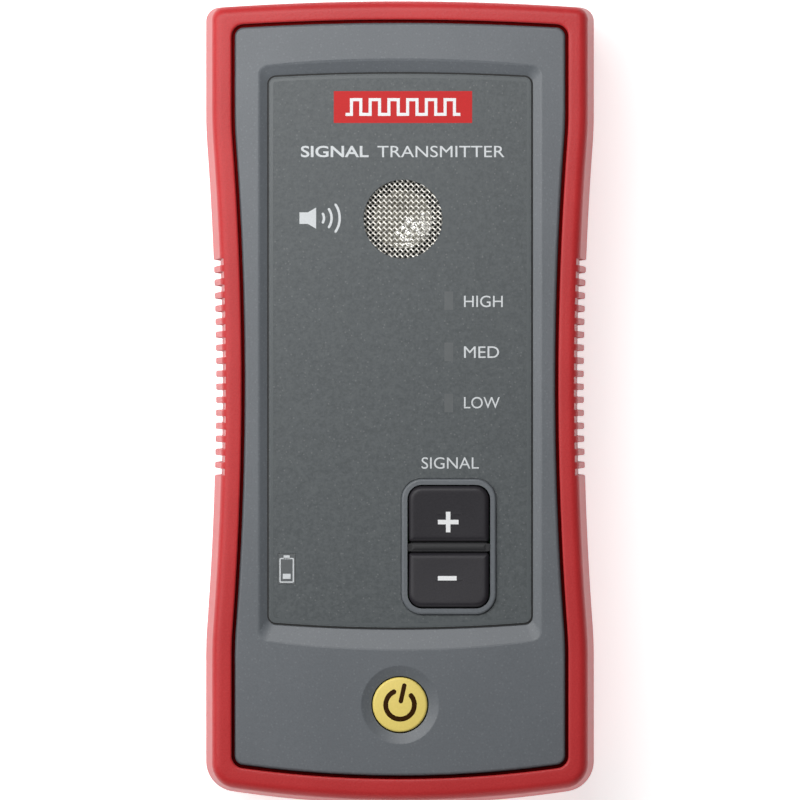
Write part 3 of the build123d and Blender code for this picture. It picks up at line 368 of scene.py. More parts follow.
LABEL_INK = printed_ink("label_ink", (0.72, 0.75, 0.77))
RED_INK = printed_ink("red_ink", (0.64, 0.016, 0.017), 0.25)
FILM_MARGIN = moulded("film_margin", (0.100, 0.113, 0.118), 0.34, 0.6, 0.006, 0.04)
BROWN_INK = printed_ink("brown_ink", (0.040, 0.014, 0.001), 0.08)

SLOTS = {row["node"]: row["material_slot"] for row in frame["record"]["subparts"]}
for name, node in nodes.items():
    node.data.materials.clear()
    node.data.materials.append(FINISHES[SLOTS[name]])


# ------------------------------------------------------------------ mesh helpers
def grid_faces(rows, columns, closed_rows=False):
    """Quads between neighbouring points of a rows by columns grid whose columns close round."""
    row_count = rows if closed_rows else rows - 1
    i, j = np.meshgrid(np.arange(row_count), np.arange(columns), indexing="ij")
    i, j = i.ravel(), j.ravel()
    after_i, after_j = (i + 1) % rows, (j + 1) % columns
    return np.stack([i * columns + j, i * columns + after_j,
                     after_i * columns + after_j, after_i * columns + j], 1)


def capped_skin(loops):
    """Skin through a stack of closed loops, a fan of triangles closing each end."""
    rows, columns = loops.shape[:2]
    points = np.vstack([loops.reshape(-1, 3), loops[0].mean(0), loops[-1].mean(0)])
    around = np.arange(columns)
    after = (around + 1) % columns
    first = np.stack([np.full(columns, rows * columns), after, around], 1)
    last_row = (rows - 1) * columns
    last = np.stack([np.full(columns, rows * columns + 1), last_row + around, last_row + after], 1)
    return points, [*grid_faces(rows, columns).tolist(), *first.tolist(), *last.tolist()]


def ring_skin(loops):
    """Skin through a ring of closed loops, the last joined to the first."""
    rows, columns = loops.shape[:2]
    return loops.reshape(-1, 3), grid_faces(rows, columns, closed_rows=True).tolist()


def joined(shapes):
    """Several shapes as one: their points stacked and their faces renumbered."""
    points, faces, start = [], [], 0
    for shape_points, shape_faces in shapes:
        points.append(shape_points)
        faces += [[start + corner for corner in face] for face in shape_faces]
        start += len(shape_points)
    return np.vstack(points), faces


def lifted(plan, height):
    """A plan loop as points in space, all at one height or each at its own."""
    return np.column_stack([plan, np.broadcast_to(height, len(plan))])


def piece(name, shape, body, slot, replaced=(), material=None, sharp=35, seam=None):
    """A mesh from points in millimetres. It rides on a body, takes its slot's finish unless it has
    a material of its own, and may stand for CAD nodes. Faces are turned outwards by the sign of the
    enclosed volume, the sum of a . (b x c) over the triangles. Edges steeper than sharp degrees
    stay crisp, and seam gives each point's depth in a seam, from 0 to 1, which the red rubber reads
    as painted shade."""
    points, faces = shape
    mesh = bpy.data.meshes.new(name)
    mesh.from_pydata((points * MM).tolist(), [], faces)
    mesh.calc_loop_triangles()
    corners = np.zeros(len(mesh.loop_triangles) * 3, int)
    mesh.loop_triangles.foreach_get("vertices", corners)
    a, b, c = np.moveaxis(points[corners].reshape(-1, 3, 3), 1, 0)
    if np.sum(a * np.cross(b, c)) < 0:
        mesh.flip_normals()
    mesh.polygons.foreach_set("use_smooth", np.full(len(mesh.polygons), True))
    mesh.set_sharp_from_angle(angle=radians(sharp))
    mesh.materials.append(material or FINISHES[slot])
    if seam is not None:
        mesh.attributes.new("seam", "FLOAT", "POINT").data.foreach_set("value", seam)
    made = bpy.data.objects.new(name, mesh)
    scene.collection.objects.link(made)
    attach(made, body)
    if replaced:
        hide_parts(*replaced)


def line(start, end, count=24):
    """Points from start to end, evenly spaced."""
    return np.linspace(start, end, count)


def arc(centre, radius, start, end, count):
    """Points on a circle's arc: centre + radius (cos a, sin a), a from start to end in degrees."""
    angle = np.radians(np.linspace(start, end, count))
    return np.stack([centre[0] + radius * np.cos(angle), centre[1] + radius * np.sin(angle)], 1)


# ------------------------------------------------------------------ bumper halves
def waist_dip(y):
    """How far the side stands out past the waist at height y: the smaller of a wide arc,
    (y - middle)^2 / 2R, and the straight ends' offset, eased together by a smooth minimum."""
    full = (BODY_WIDTH - WAIST_WIDTH) / 2
    wide = (y - WAIST_Y) ** 2 * full / WAIST_REACH**2
    near = np.clip(1 - np.abs(wide - full) / SHOULDER_BLEND, 0, 1)
    return np.minimum(wide, full) - near**2 * SHOULDER_BLEND / 4


def grip_samples():
    """Heights along the grip and, for each, the share of the notch's depth there: every notch is a
    quarter arc off the tooth, a steep wall, a quarter arc into the floor, and the same back."""
    quarter = np.radians(np.linspace(0, 90, 6))
    tooth_y = NOTCH_WIDTH / 2 + TOOTH_ROUND * (1 - np.sin(quarter))
    tooth_in = TOOTH_ROUND * (1 - np.cos(quarter)) / NOTCH_DEPTH
    floor_y = NOTCH_WIDTH / 2 - NOTCH_FLOOR_ROUND * (1 - np.cos(quarter))
    floor_in = 1 - NOTCH_FLOOR_ROUND * (1 - np.sin(quarter)) / NOTCH_DEPTH
    upper_y, upper_in = np.append(tooth_y, floor_y), np.append(tooth_in, floor_in)
    notch_y = np.concatenate([-upper_y, upper_y[::-1]])
    notch_in = np.concatenate([upper_in, upper_in[::-1]])
    middles = RIB_TOP_Y - RIB_PITCH * np.arange(RIB_NOTCHES)[::-1]
    return (middles[:, None] + notch_y).ravel(), np.tile(notch_in, RIB_NOTCHES)


GRIP_Y, GRIP_SHARE = grip_samples()
SIDE_STEPS, END_STEPS, CORNER_STEPS = 22, 26, 10


def end_line(half, end_y, radius, sign, corner):
    """One end's right half, from its middle along a flat arc, y = end -+ x^2 / 2R, and round the
    fillet that meets the straight side. sign is 1 at the top and -1 at the bottom."""
    lean = np.arctan((half - corner) / radius)
    meet_x = half - corner + corner * sin(lean)
    centre_y = end_y - sign * (meet_x**2 / (2 * radius) + corner * cos(lean))
    x = np.linspace(0, meet_x, END_STEPS)[:-1]
    flat = np.stack([x, end_y - sign * x**2 / (2 * radius)], 1)
    fillet = arc((half - corner, centre_y), corner, sign * (90 - np.degrees(lean)), 0, CORNER_STEPS)
    return np.vstack([flat, fillet])


def both_halves(right):
    """A loop from its right half, which starts and ends on the middle line."""
    return np.vstack([right, right[::-1][1:-1] * (-1, 1)])


def body_loop(insets, corners, notch_floor=0.0):
    """Loop round the body in plan, anticlockwise from the bottom's middle. The sides follow the
    waist, the ends are flat arcs, y = end -+ x^2 / 2R, and fillets join them. On the grip the side
    is drawn in towards notch_floor by each sample's share."""
    side, top, bottom = insets
    half = BODY_WIDTH / 2 - side
    upper = end_line(half, BODY_LENGTH / 2 - max(top, TOP_EASE), TOP_ARC_RADIUS, 1, corners[0])
    lower = end_line(half, -BODY_LENGTH / 2 + bottom, BOTTOM_ARC_RADIUS, -1, corners[1])
    below = np.linspace(lower[-1, 1], GRIP_Y[0], SIDE_STEPS)[1:-1]
    above = np.linspace(GRIP_Y[-1], upper[-1, 1], SIDE_STEPS)[1:-1]
    side_y = np.concatenate([below, GRIP_Y, above])
    share = np.concatenate([0 * below, GRIP_SHARE, 0 * above])
    drawn_in = side + share * max(0.0, notch_floor - side)
    side_line = np.stack([WAIST_WIDTH / 2 + waist_dip(side_y) - drawn_in, side_y], 1)
    return both_halves(np.vstack([lower, side_line, upper[::-1]]))


def bumper_rows(reach):
    """The bumper wall's section from the parting line to its rim, reach away, and back inside:
    height above the parting line, the three insets, the two corner radii, the notch floor's inset
    and how deep in the seam the row lies, which sets the seam's painted shade."""
    rows = []

    def add(height, insets, corners, notched=False, seam=0.0):
        share = height / reach
        floor = DRAFT * share + NOTCH_DEPTH + (NOTCH_DEPTH_AT_RIM - NOTCH_DEPTH) * share
        rows.append((height, insets, corners, floor if notched else 0.0, seam))

    def corners_at(height, lost=0.0):
        share = height / reach
        return [max(MIN_CORNER, low + (high - low) * share - lost)
                for low, high in zip(PARTING_CORNERS, RIM_CORNERS)]

    groove_half, groove_depth = PARTING_GROOVE
    add(0.0, [groove_depth] * 3, PARTING_CORNERS, True)
    add(groove_half, [groove_depth] * 3, PARTING_CORNERS, True)
    round_start = reach - RIM_ROUND
    for height in np.linspace(groove_half, round_start, 12):
        add(height, DRAFTS * height / reach, corners_at(height), True)
    wall = DRAFTS * round_start / reach
    for angle in np.radians(np.linspace(9, 90, 10)):
        lost = RIM_ROUND * (1 - cos(angle))
        height = round_start + RIM_ROUND * sin(angle)
        add(height, wall + lost, corners_at(height, lost), True)
    outer = wall + RIM_ROUND
    seam_insets = np.array(FACE_INSETS) - SEAM_WIDTH
    seam_corner = FACE_CORNER + SEAM_WIDTH
    flat_end = seam_insets - RIM_INNER_ROUND
    for share in (0.33, 0.67):
        blend = [(1 - share) * corner + share * seam_corner
                 for corner in corners_at(reach, RIM_ROUND)]
        add(reach, outer + share * (flat_end - outer), blend)
    for angle in np.radians(np.linspace(0, 90, 6)):
        add(reach - RIM_INNER_ROUND * (1 - cos(angle)), flat_end + RIM_INNER_ROUND * sin(angle),
            [seam_corner] * 2)
    # rows down in the gap carry the seam's painted shade
    add(reach - RIM_INNER_ROUND - SEAM_LIP, seam_insets, [seam_corner] * 2, seam=1.0)
    add(reach - SEAM_DEPTH, seam_insets, [seam_corner] * 2, seam=1.0)
    add(reach - SEAM_DEPTH, FACE_INSETS, [FACE_CORNER] * 2, seam=1.0)
    ledge = reach - RIM_THICKNESS
    add(ledge, FACE_INSETS, [FACE_CORNER] * 2)
    for height in (ledge, ledge / 2, 0.0):
        add(height, [BUMPER_WALL + DRAFT * height / reach] * 3, WALL_CORNERS)
    return rows


def bumper_half(name, node, up):
    """One bumper half as a ring of plan loops, one for each row of its wall's section."""
    reach = BODY_DEPTH - PARTING_Z if up > 0 else PARTING_Z
    loops, seam = [], []
    for height, insets, corners, floor, depth in bumper_rows(reach):
        plan = body_loop(insets, corners, floor)
        loops.append(lifted(plan, PARTING_Z + up * height))
        seam.append(np.full(len(plan), depth))
    piece(name, ring_skin(np.array(loops)), "root", "red_bumper", [node], sharp=50,
          seam=np.concatenate(seam))


bumper_half("front_bumper_skin", "front_bumper", 1)
bumper_half("rear_bumper_skin", "rear_bumper", -1)

# ------------------------------------------------------------------ sound opening
grille_low, grille_high = box_mm("grille")
SOUND_X, SOUND_Y = (grille_low + grille_high)[:2] / 2
MESH_RADIUS = (grille_high[0] - grille_low[0]) / 2
WIRE_PITCH, WIRE_SIDES, WIRE_STEPS = 0.78, 6, 4
WIRE_RADII = (0.185, 0.125)  # of the wires that fall to the right and of those that rise
WIRE_LIFTS, WEAVE_RISE = (0.05, -0.05), 0.13


def woven_mesh():
    """Plain weave at 45 degrees. Each wire is a round tube along z = middle +- a cos(pi t / p) at
    a distance t along it, so that it goes over one crossing wire and under the next."""
    middle = (grille_low[2] + grille_high[2]) / 2
    around = np.arange(WIRE_SIDES) * 2 * pi / WIRE_SIDES
    count = int(MESH_RADIUS / WIRE_PITCH)
    wires = []
    for turn, phase, wire, lift in zip((-pi / 4, pi / 4), (0, 1), WIRE_RADII, WIRE_LIFTS):
        ahead, across = np.array([cos(turn), sin(turn)]), np.array([-sin(turn), cos(turn)])
        for row in range(-count, count + 1):
            offset = row * WIRE_PITCH
            reach = np.sqrt(MESH_RADIUS**2 - offset**2) - wire
            t = np.linspace(-reach, reach, max(4, int(2 * reach / WIRE_PITCH * WIRE_STEPS)))
            z = middle + lift + WEAVE_RISE * np.cos(pi * (t / WIRE_PITCH + row + phase))
            run = np.outer(t, ahead) + offset * across + (SOUND_X, SOUND_Y)
            ring_xy = run[:, None] + wire * np.cos(around)[None, :, None] * across
            ring_z = z[:, None] + wire * np.sin(around)
            wires.append(capped_skin(np.dstack([ring_xy, ring_z])))
    return joined(wires)


piece("grille_mesh", woven_mesh(), "root", "grille_wire", ["grille"], sharp=80)

cone_high = box_mm("transducer_cone")[1]
CONE_RADIUS = 6.0            # of the pale paper, inside its dark surround
CONE_RISE, CONE_WALL, CONE_GAP, CONE_EDGE_STEPS = 1.65, 0.3, 0.04, 64
CONE_RING_HEIGHT, CONE_RING_PITCH, CONE_RING_START = 0.04, 0.7, 4.6


def turned(radius, z, centre, steps):
    """Skin of a section turned about an upright axis: centre + r (cos a, sin a) at each height."""
    angle = np.linspace(0, 2 * pi, steps, endpoint=False)
    x = centre[0] + np.outer(radius, np.cos(angle))
    y = centre[1] + np.outer(radius, np.sin(angle))
    return capped_skin(np.dstack([x, y, np.repeat(z[:, None], steps, 1)]))


def dished_cone():
    """Paper cone turned about the sound opening's axis: its face is z = rim - rise (1 - (r / R)^2),
    with shallow rings pressed in near the rim, and its back follows a wall's thickness below."""
    radius = np.linspace(CONE_RADIUS, 0.05, 40)
    rings = CONE_RING_HEIGHT * np.cos(2 * pi * radius / CONE_RING_PITCH)
    rings *= radius > CONE_RING_START
    face = cone_high[2] - CONE_GAP - CONE_RISE * (1 - (radius / CONE_RADIUS) ** 2) + rings
    section_r = np.concatenate([radius[::-1], radius])
    section_z = np.concatenate([face[::-1] - CONE_WALL, face])
    return turned(section_r, section_z, (SOUND_X, SOUND_Y), CONE_EDGE_STEPS)


piece("cone_face", dished_cone(), "root", "pale_cone", ["transducer_cone"])


# ------------------------------------------------------------------ keys
def rounded_rectangle(left, right, bottom, top, lower_corner, upper_corner, steps=8, side_steps=14):
    """Loop round a rectangle with quarter-arc corners, anticlockwise from the bottom right, with
    points along its sides as well."""
    corners = [
        arc((right - lower_corner, bottom + lower_corner), lower_corner, -90, 0, steps),
        arc((right - upper_corner, top - upper_corner), upper_corner, 0, 90, steps),
        arc((left + upper_corner, top - upper_corner), upper_corner, 90, 180, steps),
        arc((left + lower_corner, bottom + lower_corner), lower_corner, 180, 270, steps)]
    following = corners[1:] + corners[:1]
    sides = [line(a[-1], b[0], side_steps)[1:-1] for a, b in zip(corners, following)]
    return np.vstack([part for pair in zip(corners, sides) for part in pair])


KEY_EDGE, KEY_FALL, KEY_HOLLOW, KEY_TOP = 1.05, 0.6, 0.10, 38.2
KEY_CORNER, BAR_CORNER, LEAST_KEY_CORNER = 2.75, 0.6, 0.12
KEY_WALL_DROP = 1.6          # from the face down to the straight wall's top row


def key_height(x, y, low, high, falls_down):
    """Height of a level key's face: it falls evenly towards the bar between the keys and is hollow
    by 4 v (1 - v) (1 - u^2), with v along the key and u across it from -1 to 1."""
    along = (y - low[1]) / (high[1] - low[1])
    fall = 1 - along if falls_down else along
    across = 2 * (x - low[0]) / (high[0] - low[0]) - 1
    hollow = np.clip(1 - across**2, 0, 1) * np.clip(4 * along * (1 - along), 0, 1)
    return KEY_TOP - KEY_FALL * fall - KEY_HOLLOW * hollow


def level_key(name, node, body, falls_down):
    """A key's wall, its rounded edge and its face, as plan loops drawn in step by step. What it
    gives back is the height of its face at any place, for the print on it."""
    low, high = box_mm(node)
    lower, upper = (BAR_CORNER, KEY_CORNER) if falls_down else (KEY_CORNER, BAR_CORNER)
    steps = [(0.0, None), (0.0, KEY_WALL_DROP)]
    steps += [(KEY_EDGE * (1 - cos(angle)), KEY_EDGE * (1 - sin(angle)))
              for angle in np.radians(np.linspace(0, 90, 9))]
    middle = min(high[0] - low[0], high[1] - low[1]) / 2
    steps += [(KEY_EDGE + (middle - KEY_EDGE) * share, 0.0) for share in np.linspace(0.1, 0.98, 12)]
    loops = []
    for inset, drop in steps:
        plan = rounded_rectangle(
            low[0] + inset, high[0] - inset, low[1] + inset, high[1] - inset,
            max(LEAST_KEY_CORNER, lower - inset), max(LEAST_KEY_CORNER, upper - inset))
        face = key_height(*plan.T, low, high, falls_down)
        loops.append(lifted(plan, low[2] if drop is None else face - drop))
    piece(name, capped_skin(np.array(loops)), body, "dark_key", [node])
    return lambda x, y: key_height(x, y, low, high, falls_down)


plus_face = level_key("plus_key_cap", "plus_key", "plus_key_body", True)
minus_face = level_key("minus_key_cap", "minus_key", "minus_key_body", False)

power_low, power_high = box_mm("power_key")
POWER_X, POWER_Y = (power_low + power_high)[:2] / 2
POWER_RADIUS = (power_high[0] - power_low[0]) / 2
POWER_EDGE, POWER_DOME = 0.5, 0.28


def power_face(x, y):
    """Height of the power key's face: a shallow dome about its middle."""
    return power_high[2] - POWER_DOME * ((x - POWER_X) ** 2 + (y - POWER_Y) ** 2) / POWER_RADIUS**2


def power_cap():
    """The power key turned about its axis: straight wall, rounded edge and a shallow dome."""
    bend = np.radians(np.linspace(0, 90, 9))
    rim = POWER_RADIUS - POWER_EDGE
    inward = np.linspace(rim, 0.1, 12)[1:]
    radius = np.concatenate([[POWER_RADIUS], rim + POWER_EDGE * np.cos(bend), inward])
    drop = np.concatenate([POWER_EDGE * (1 - np.sin(bend)), 0 * inward])
    z = power_high[2] - POWER_DOME * np.minimum(radius[1:], rim) ** 2 / POWER_RADIUS**2 - drop
    return turned(radius, np.concatenate([[power_low[2]], z]), (POWER_X, POWER_Y), 72)


piece("power_key_cap", power_cap(), "power_key_body", "yellow_key", ["power_key"])


RIDGE_END_GAP, RIDGE_SIDE_GAP = 0.25, 0.06
RIDGE_RISE, RIDGE_ROOT, RIDGE_CORNER = 0.12, 0.5, 0.4


def keypad_ridge():
    """The keypad's bar between the level keys: half an ellipse in section, with rounded ends. Its
    loops are drawn in by d (1 - cos a) / 2 and raised by h sin a, a quarter turn in all."""
    (plus_low, plus_high), minus_high = box_mm("plus_key"), box_mm("minus_key")[1]
    left, right = plus_low[0] + RIDGE_END_GAP, plus_high[0] - RIDGE_END_GAP
    bottom, top = minus_high[1] + RIDGE_SIDE_GAP, plus_low[1] - RIDGE_SIDE_GAP
    mat_top = box_mm("keypad")[1][2]
    loops = []
    for angle in np.radians(np.linspace(0, 86, 9)):
        inset = (top - bottom) / 2 * (1 - cos(angle))
        corner = max(0.03, RIDGE_CORNER - inset)
        plan = rounded_rectangle(
            left + inset, right - inset, bottom + inset, top - inset, corner, corner)
        loops.append(lifted(plan, mat_top - RIDGE_ROOT + (RIDGE_RISE + RIDGE_ROOT) * sin(angle)))
    return capped_skin(np.array(loops))


piece("keypad_ridge", keypad_ridge(), "root", "mat_silicone")

# ------------------------------------------------------------------ lines printed on a face
overlay_low, overlay_high = box_mm("front_overlay")
FILM_TOP = overlay_high[2]
PRINT_THICKNESS = 0.025


def film_face(x, y):
    """Height of the film."""
    return np.full(np.shape(x), FILM_TOP)


def band(path, widths, face=film_face, closed=False):
    """A flat printed line: its path carries a thin rectangle, as wide as widths says, on a face.
    At a corner the edges are mitred: the half width grows by 1 / cos of half the turn."""
    path = np.asarray(path, float)
    runs = np.diff(np.vstack([path, path[:1]]) if closed else path, axis=0)
    runs /= np.linalg.norm(runs, axis=1)[:, None]
    before = np.roll(runs, 1, 0) if closed else np.vstack([runs[:1], runs])
    after = runs if closed else np.vstack([runs, runs[-1:]])
    ahead = before + after
    ahead /= np.linalg.norm(ahead, axis=1)[:, None]
    across = np.stack([-ahead[:, 1], ahead[:, 0]], 1) / np.sum(ahead * after, 1)[:, None]
    across *= np.broadcast_to(widths, len(path))[:, None] / 2
    left, right = path + across, path - across
    sides = np.stack([left, right, right, left], 1)
    z = face(sides[..., 0], sides[..., 1]) + np.array([1, 1, -1, -1]) * PRINT_THICKNESS
    loops = np.dstack([sides, z])
    return ring_skin(loops) if closed else capped_skin(loops)


def rounded(path, width):
    """Widths along a path that end in half circles, w = 2 sqrt(r^2 - (r - s)^2) at a distance s
    from the end, and never quite close."""
    along = np.concatenate([[0], np.cumsum(np.linalg.norm(np.diff(path, axis=0), axis=1))])
    from_end = np.clip(np.minimum(along, along[-1] - along) / (width / 2), 0, 1)
    return width * np.sqrt(np.maximum(1 - (1 - from_end) ** 2, 0.01))


# ------------------------------------------------------------------ words
CAP_HEIGHT, BOLDER = 2.35, 0.018
TITLE_LINE = 50.0
# Each word's name, letters, left end, right end, baseline and how much bolder it is.
TITLE = (("title_bold", "SIGNAL", -20.2, -6.4, TITLE_LINE, BOLDER),
         ("title_plain", "TRANSMITTER", -4.6, 21.3, TITLE_LINE, 0.0))
LABELS = (("high", "HIGH", 13.05, 20.95, 19.45, 0.0),
          ("medium", "MED", 13.05, 20.2, 9.1, 0.0),
          ("low", "LOW", 13.05, 20.35, -1.2, 0.0),
          ("signal", "SIGNAL", 4.4, 16.05, -13.5, 0.0))


def lettering(name, words, left, right, baseline, weight):
    """Capitals in the plain built-in face, made a mesh and then fitted between left and right."""
    text = bpy.data.curves.new(name, "FONT")
    text.body, text.extrude, text.offset, text.resolution_u = words, 0.5, weight, 5
    holder = bpy.data.objects.new(name, text)
    scene.collection.objects.link(holder)
    bpy.context.view_layer.update()
    depsgraph = bpy.context.evaluated_depsgraph_get()
    flat = bpy.data.meshes.new_from_object(holder.evaluated_get(depsgraph))
    bpy.data.objects.remove(holder)
    work = bmesh.new()
    work.from_mesh(flat)
    bmesh.ops.remove_doubles(work, verts=work.verts, dist=1e-4)
    work.verts.index_update()
    points = np.array([vertex.co for vertex in work.verts])
    faces = [[vertex.index for vertex in face.verts] for face in work.faces]
    work.free()
    low, high = points.min(0), points.max(0)
    share = (points - low) / (high - low)
    x = left + share[:, 0] * (right - left)
    y = baseline + share[:, 1] * CAP_HEIGHT
    z = FILM_TOP + (2 * share[:, 2] - 1) * PRINT_THICKNESS
    return np.column_stack([x, y, z]), faces


for name, words in (("title_print", TITLE), ("level_print", LABELS)):
    piece(name, joined([lettering(*word) for word in words]), "root", "panel_film",
          material=LABEL_INK)


# ------------------------------------------------------------------ film's edge and windows
FILM_HALF_WIDTH, FILM_CORNER = 26.75, 1.5
FILM_TOP_RISE, FILM_BOTTOM_DROP = 0.75, 1.1              # of the arched ends
# Where the painted shadow line round the film lies: how far out from its edge, how wide, and how
# far below its face.
GAP_SHADOW_OUT, GAP_SHADOW_WIDTH, GAP_SHADOW_BELOW = 0.15, 0.36, 0.2
# How far the margin's rows stand out from the film's edge, and their height above its face.
MARGIN_ROWS = ((-0.01, -0.12), (-0.30, 0.02), (-0.9, 0.02), (-0.9, -0.12))
TINT_WIDTH, TINT_HALF_LENGTH, WINDOW_HALF_LENGTH = 1.8, 1.9, 2.05


def film_outline(grow):
    """Loop round the film, grown outwards: straight sides, slightly arched ends, rounded corners.
    An end that rises by h over its half width w is an arc of radius w^2 / 2h."""
    half, corner = FILM_HALF_WIDTH + grow, FILM_CORNER + grow
    upper = end_line(half, overlay_high[1] + grow, half**2 / (2 * FILM_TOP_RISE), 1, corner)
    lower = end_line(half, overlay_low[1] - grow, half**2 / (2 * FILM_BOTTOM_DROP), -1, corner)
    return both_halves(np.vstack([lower, upper[::-1]]))


def film_foot(x, y):
    """Height of the painted shadow line that shows round the film."""
    return film_face(x, y) - GAP_SHADOW_BELOW


def film_gap_shadow():
    """A dark line round the film: painted shadow in the gap at the film's edge."""
    return band(film_outline(GAP_SHADOW_OUT), GAP_SHADOW_WIDTH, film_foot, closed=True)


def film_border():
    """The film's smooth bevelled margin: a ring from its edge up a short slope to its face."""
    loops = [lifted(film_outline(grow), FILM_TOP + rise) for grow, rise in MARGIN_ROWS]
    return ring_skin(np.array(loops))


def window_tints():
    """The film's clear patches over the level lamps, a shade off the print round them."""
    low, high = box_mm("level_windows")
    x = (low[0] + high[0]) / 2
    rows = (high[1] - WINDOW_HALF_LENGTH, (low[1] + high[1]) / 2, low[1] + WINDOW_HALF_LENGTH)
    return joined([
        band(line((x, y - TINT_HALF_LENGTH), (x, y + TINT_HALF_LENGTH), 4), TINT_WIDTH)
        for y in rows])


# painted shadow: a dark line where the film's edge meets the panel
piece("film_gap_shadow", film_gap_shadow(), "root", "black_rubber")
piece("film_border", film_border(), "root", "panel_film", material=FILM_MARGIN, sharp=10)
piece("window_tints", window_tints(), "root", "smoked_window")

# ------------------------------------------------------------------ badge block
BADGE = (-13.5, 14.7, 57.0, 63.5)        # left, right, bottom and top
PULSES, PULSE_HALF_HEIGHT, PULSE_STROKE = 6, 1.5, 0.62
PULSE_MARGIN, PULSE_LEAD = 3.6, 1.2      # from the block's ends to the pulses, and the lead to them


def badge_block():
    """Plain printed block."""
    left, right, bottom, top = BADGE
    middle = (bottom + top) / 2
    return band(line((left, middle), (right, middle)), top - bottom)


def badge_face(x, y):
    """Height of the badge block's print."""
    return film_face(x, y) + 1.5 * PRINT_THICKNESS


def pulse_line():
    """A row of plain pulses across the badge block."""
    left, right, bottom, top = BADGE
    middle = (bottom + top) / 2
    foot, crest = middle - PULSE_HALF_HEIGHT, middle + PULSE_HALF_HEIGHT
    start, end = left + PULSE_MARGIN, right - PULSE_MARGIN
    step = (end - start) / (PULSES - 0.5)
    corners = [(start - PULSE_LEAD, foot)]
    for x in start + step * np.arange(PULSES):
        corners += [(x, foot), (x, crest), (x + step / 2, crest), (x + step / 2, foot)]
    corners.append((end + PULSE_LEAD, foot))
    return band(corners, PULSE_STROKE, badge_face)


piece("badge_print", badge_block(), "root", "panel_film", material=RED_INK)
piece("badge_pulses", pulse_line(), "root", "panel_film", material=WHITE_INK)


# ------------------------------------------------------------------ speaker and battery symbols
HORN_X, HORN_BEND_X, HORN_MOUTH_X = -20.5, -18.8, -17.1
HORN_WIDTH, HORN_FLARE = 2.35, 1.95
WAVE_X, WAVE_STROKE = -17.25, 0.5
WAVES = ((1.75, 38), (3.3, 38), (4.95, 37))              # radius and half angle of each sound arc
SPEAKER_ABOVE = 0.2                                      # above the sound opening's middle
CELL_HALF_WIDTH, CELL_BOTTOM, CELL_TOP, CELL_CORNER = 1.35, -2.7, 2.1, 0.16
CELL_STROKE, CAP_TOP, CAP_WIDTH = 0.25, 2.75, 1.25
CHARGE_BOTTOM, CHARGE_TOP, CHARGE_WIDTH = -2.05, -1.0, 1.6


def speaker_mark():
    """A small horn, straight and then flared, and three sound arcs."""
    middle_y = SOUND_Y + SPEAKER_ABOVE
    horn_x = np.concatenate([line(HORN_X, HORN_BEND_X, 6), line(HORN_BEND_X, HORN_MOUTH_X, 6)[1:]])
    flare = np.clip((horn_x - HORN_BEND_X) / (HORN_MOUTH_X - HORN_BEND_X), 0, 1)
    horn = band(np.stack([horn_x, 0 * horn_x + middle_y], 1), HORN_WIDTH + HORN_FLARE * flare)
    paths = [arc((WAVE_X, middle_y), radius, -spread, spread, 28) for radius, spread in WAVES]
    return joined([horn, *[band(path, rounded(path, WAVE_STROKE)) for path in paths]])


def battery_mark():
    """Outline of a cell with its cap, nearly empty."""
    low, high = box_mm("battery_window")
    x, y = (low[0] + high[0]) / 2, (low[1] + high[1]) / 2
    shell = rounded_rectangle(x - CELL_HALF_WIDTH, x + CELL_HALF_WIDTH, y + CELL_BOTTOM,
                              y + CELL_TOP, CELL_CORNER, CELL_CORNER, 5)
    cap = line((x, y + CELL_TOP), (x, y + CAP_TOP), 4)
    charge = line((x, y + CHARGE_BOTTOM), (x, y + CHARGE_TOP), 4)
    return joined([band(shell, CELL_STROKE, closed=True), band(cap, CAP_WIDTH),
                   band(charge, CHARGE_WIDTH)])


piece("speaker_print", speaker_mark(), "root", "panel_film", material=LABEL_INK)
piece("battery_print", battery_mark(), "root", "smoked_window", material=LABEL_INK)


# ------------------------------------------------------------------ symbols on the keys
PLUS_X, PLUS_Y, PLUS_ARM, PLUS_STROKE = 9.82, -24.35, 2.1, 0.92
MINUS_X, MINUS_Y, MINUS_ARM, MINUS_STROKE = 9.62, -35.8, 1.92, 0.9
RING_RADIUS, RING_STROKE, RING_GAP, RING_TURN = 2.92, 1.0, 27.5, -12.5   # gap's half angle and turn
BAR_START, BAR_END, BAR_STROKE = 0.3, 4.5, 0.9


def plus_mark():
    """A plain plus: a bar across, and an arm above and below that stop at its edges."""
    x, y, edge = PLUS_X, PLUS_Y, PLUS_STROKE / 2
    ends = (((x - PLUS_ARM, y), (x + PLUS_ARM, y)), ((x, y + edge), (x, y + PLUS_ARM)),
            ((x, y - PLUS_ARM), (x, y - edge)))
    return joined([band(line(*pair), PLUS_STROKE, plus_face) for pair in ends])


def minus_mark():
    """A plain minus."""
    ends = (MINUS_X - MINUS_ARM, MINUS_Y), (MINUS_X + MINUS_ARM, MINUS_Y)
    return band(line(*ends), MINUS_STROKE, minus_face)


def power_mark():
    """A broken ring with a bar through the break, turned a little clockwise."""
    middle, top = np.array([POWER_X, POWER_Y]), 90 + RING_TURN
    ring = arc(middle, RING_RADIUS, top + RING_GAP, top + 360 - RING_GAP, 90)
    ahead = np.array([cos(radians(top)), sin(radians(top))])
    bar = line(middle + BAR_START * ahead, middle + BAR_END * ahead, 30)
    return joined([band(path, rounded(path, width), power_face)
                   for path, width in ((ring, RING_STROKE), (bar, BAR_STROKE))])


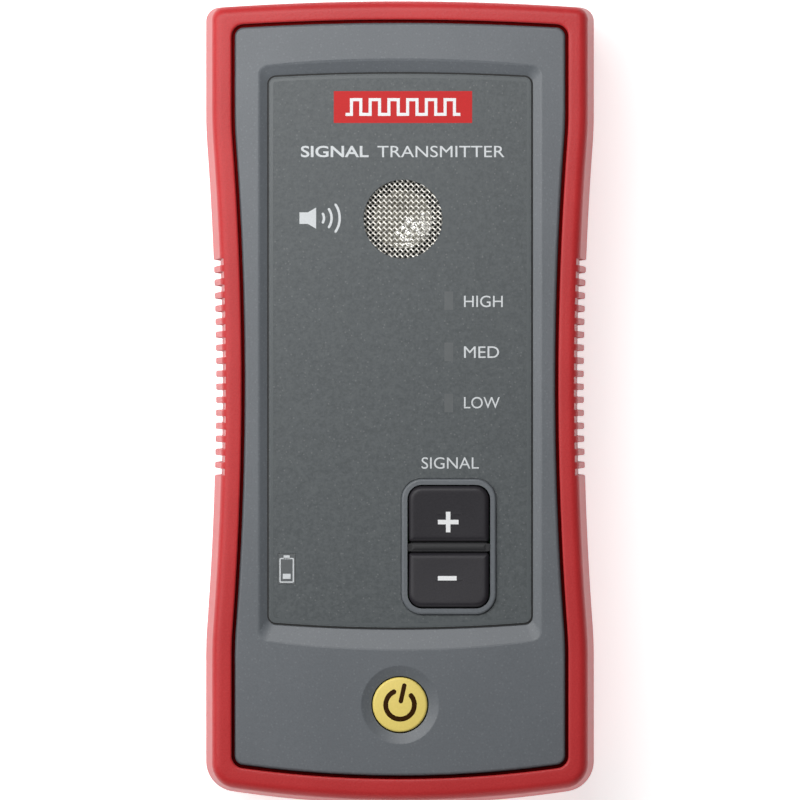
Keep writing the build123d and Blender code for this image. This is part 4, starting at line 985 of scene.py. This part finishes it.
piece("plus_print", plus_mark(), "plus_key_body", "dark_key", material=WHITE_INK)
piece("minus_print", minus_mark(), "minus_key_body", "dark_key", material=WHITE_INK)
piece("power_print", power_mark(), "power_key_body", "yellow_key", material=BROWN_INK)


# ------------------------------------------------------------------ floor and lights
FLOOR_REACH, FLOOR_GLOW, SKY_STRENGTH = 3.0, 0.66, 0.06   # the reach in metres
WHITE = (1.0, 1.0, 1.0)


def studio_floor():
    """A plain pale floor with a faint paper tooth."""
    finish = Finish("studio_paper", {"Emission Color": WHITE, "Emission Strength": FLOOR_GLOW})
    tooth = finish.noise(1.5, 3.0)
    finish.feed(finish.shader, {
        "Base Color": finish.mix(tooth, (0.93, 0.93, 0.93), (0.95, 0.95, 0.95)),
        "Roughness": 0.85 + 0.1 * tooth})
    corners = FLOOR_REACH * np.array([(-1, -1, 0), (1, -1, 0), (1, 1, 0), (-1, 1, 0)])
    mesh = bpy.data.meshes.new("floor")
    mesh.from_pydata(corners.tolist(), [], [(0, 1, 2, 3)])
    mesh.materials.append(finish.material)
    floor = bpy.data.objects.new("floor", mesh)
    scene.collection.objects.link(floor)


def softbox(name, place, aim, size, watts, turn=0.0):
    """A rectangular area light at a place in metres, aimed at a point and turned by some degrees
    about the line to it."""
    light = bpy.data.lights.new(name, "AREA")
    light.shape, light.size, light.size_y, light.energy = "RECTANGLE", size[0], size[1], watts
    lamp = bpy.data.objects.new(name, light)
    lamp.location = place
    facing = (Vector(aim) - Vector(place)).to_track_quat("-Z", "Y")
    lamp.rotation_euler = (facing @ Quaternion((0, 0, 1), radians(turn))).to_euler()
    scene.collection.objects.link(lamp)


studio_floor()
softbox("key_softbox", (-0.075, 0.182, 0.43), (0.0, 0.040, 0.034), (0.34, 0.22), 1.3, 25)
softbox("left_softbox", (-0.38, 0.12, 0.36), (0.0, 0.0, 0.034), (0.40, 0.30), 1.3)
softbox("foot_softbox", (0.05, -0.55, 0.16), (0.0, 0.0, 0.020), (0.60, 0.20), 0.5)
world = bpy.data.worlds.new("studio")
world.use_nodes = True
sky = world.node_tree.nodes["Background"]
sky.inputs["Color"].default_value = (*WHITE, 1.0)
sky.inputs["Strength"].default_value = SKY_STRENGTH
scene.world = world
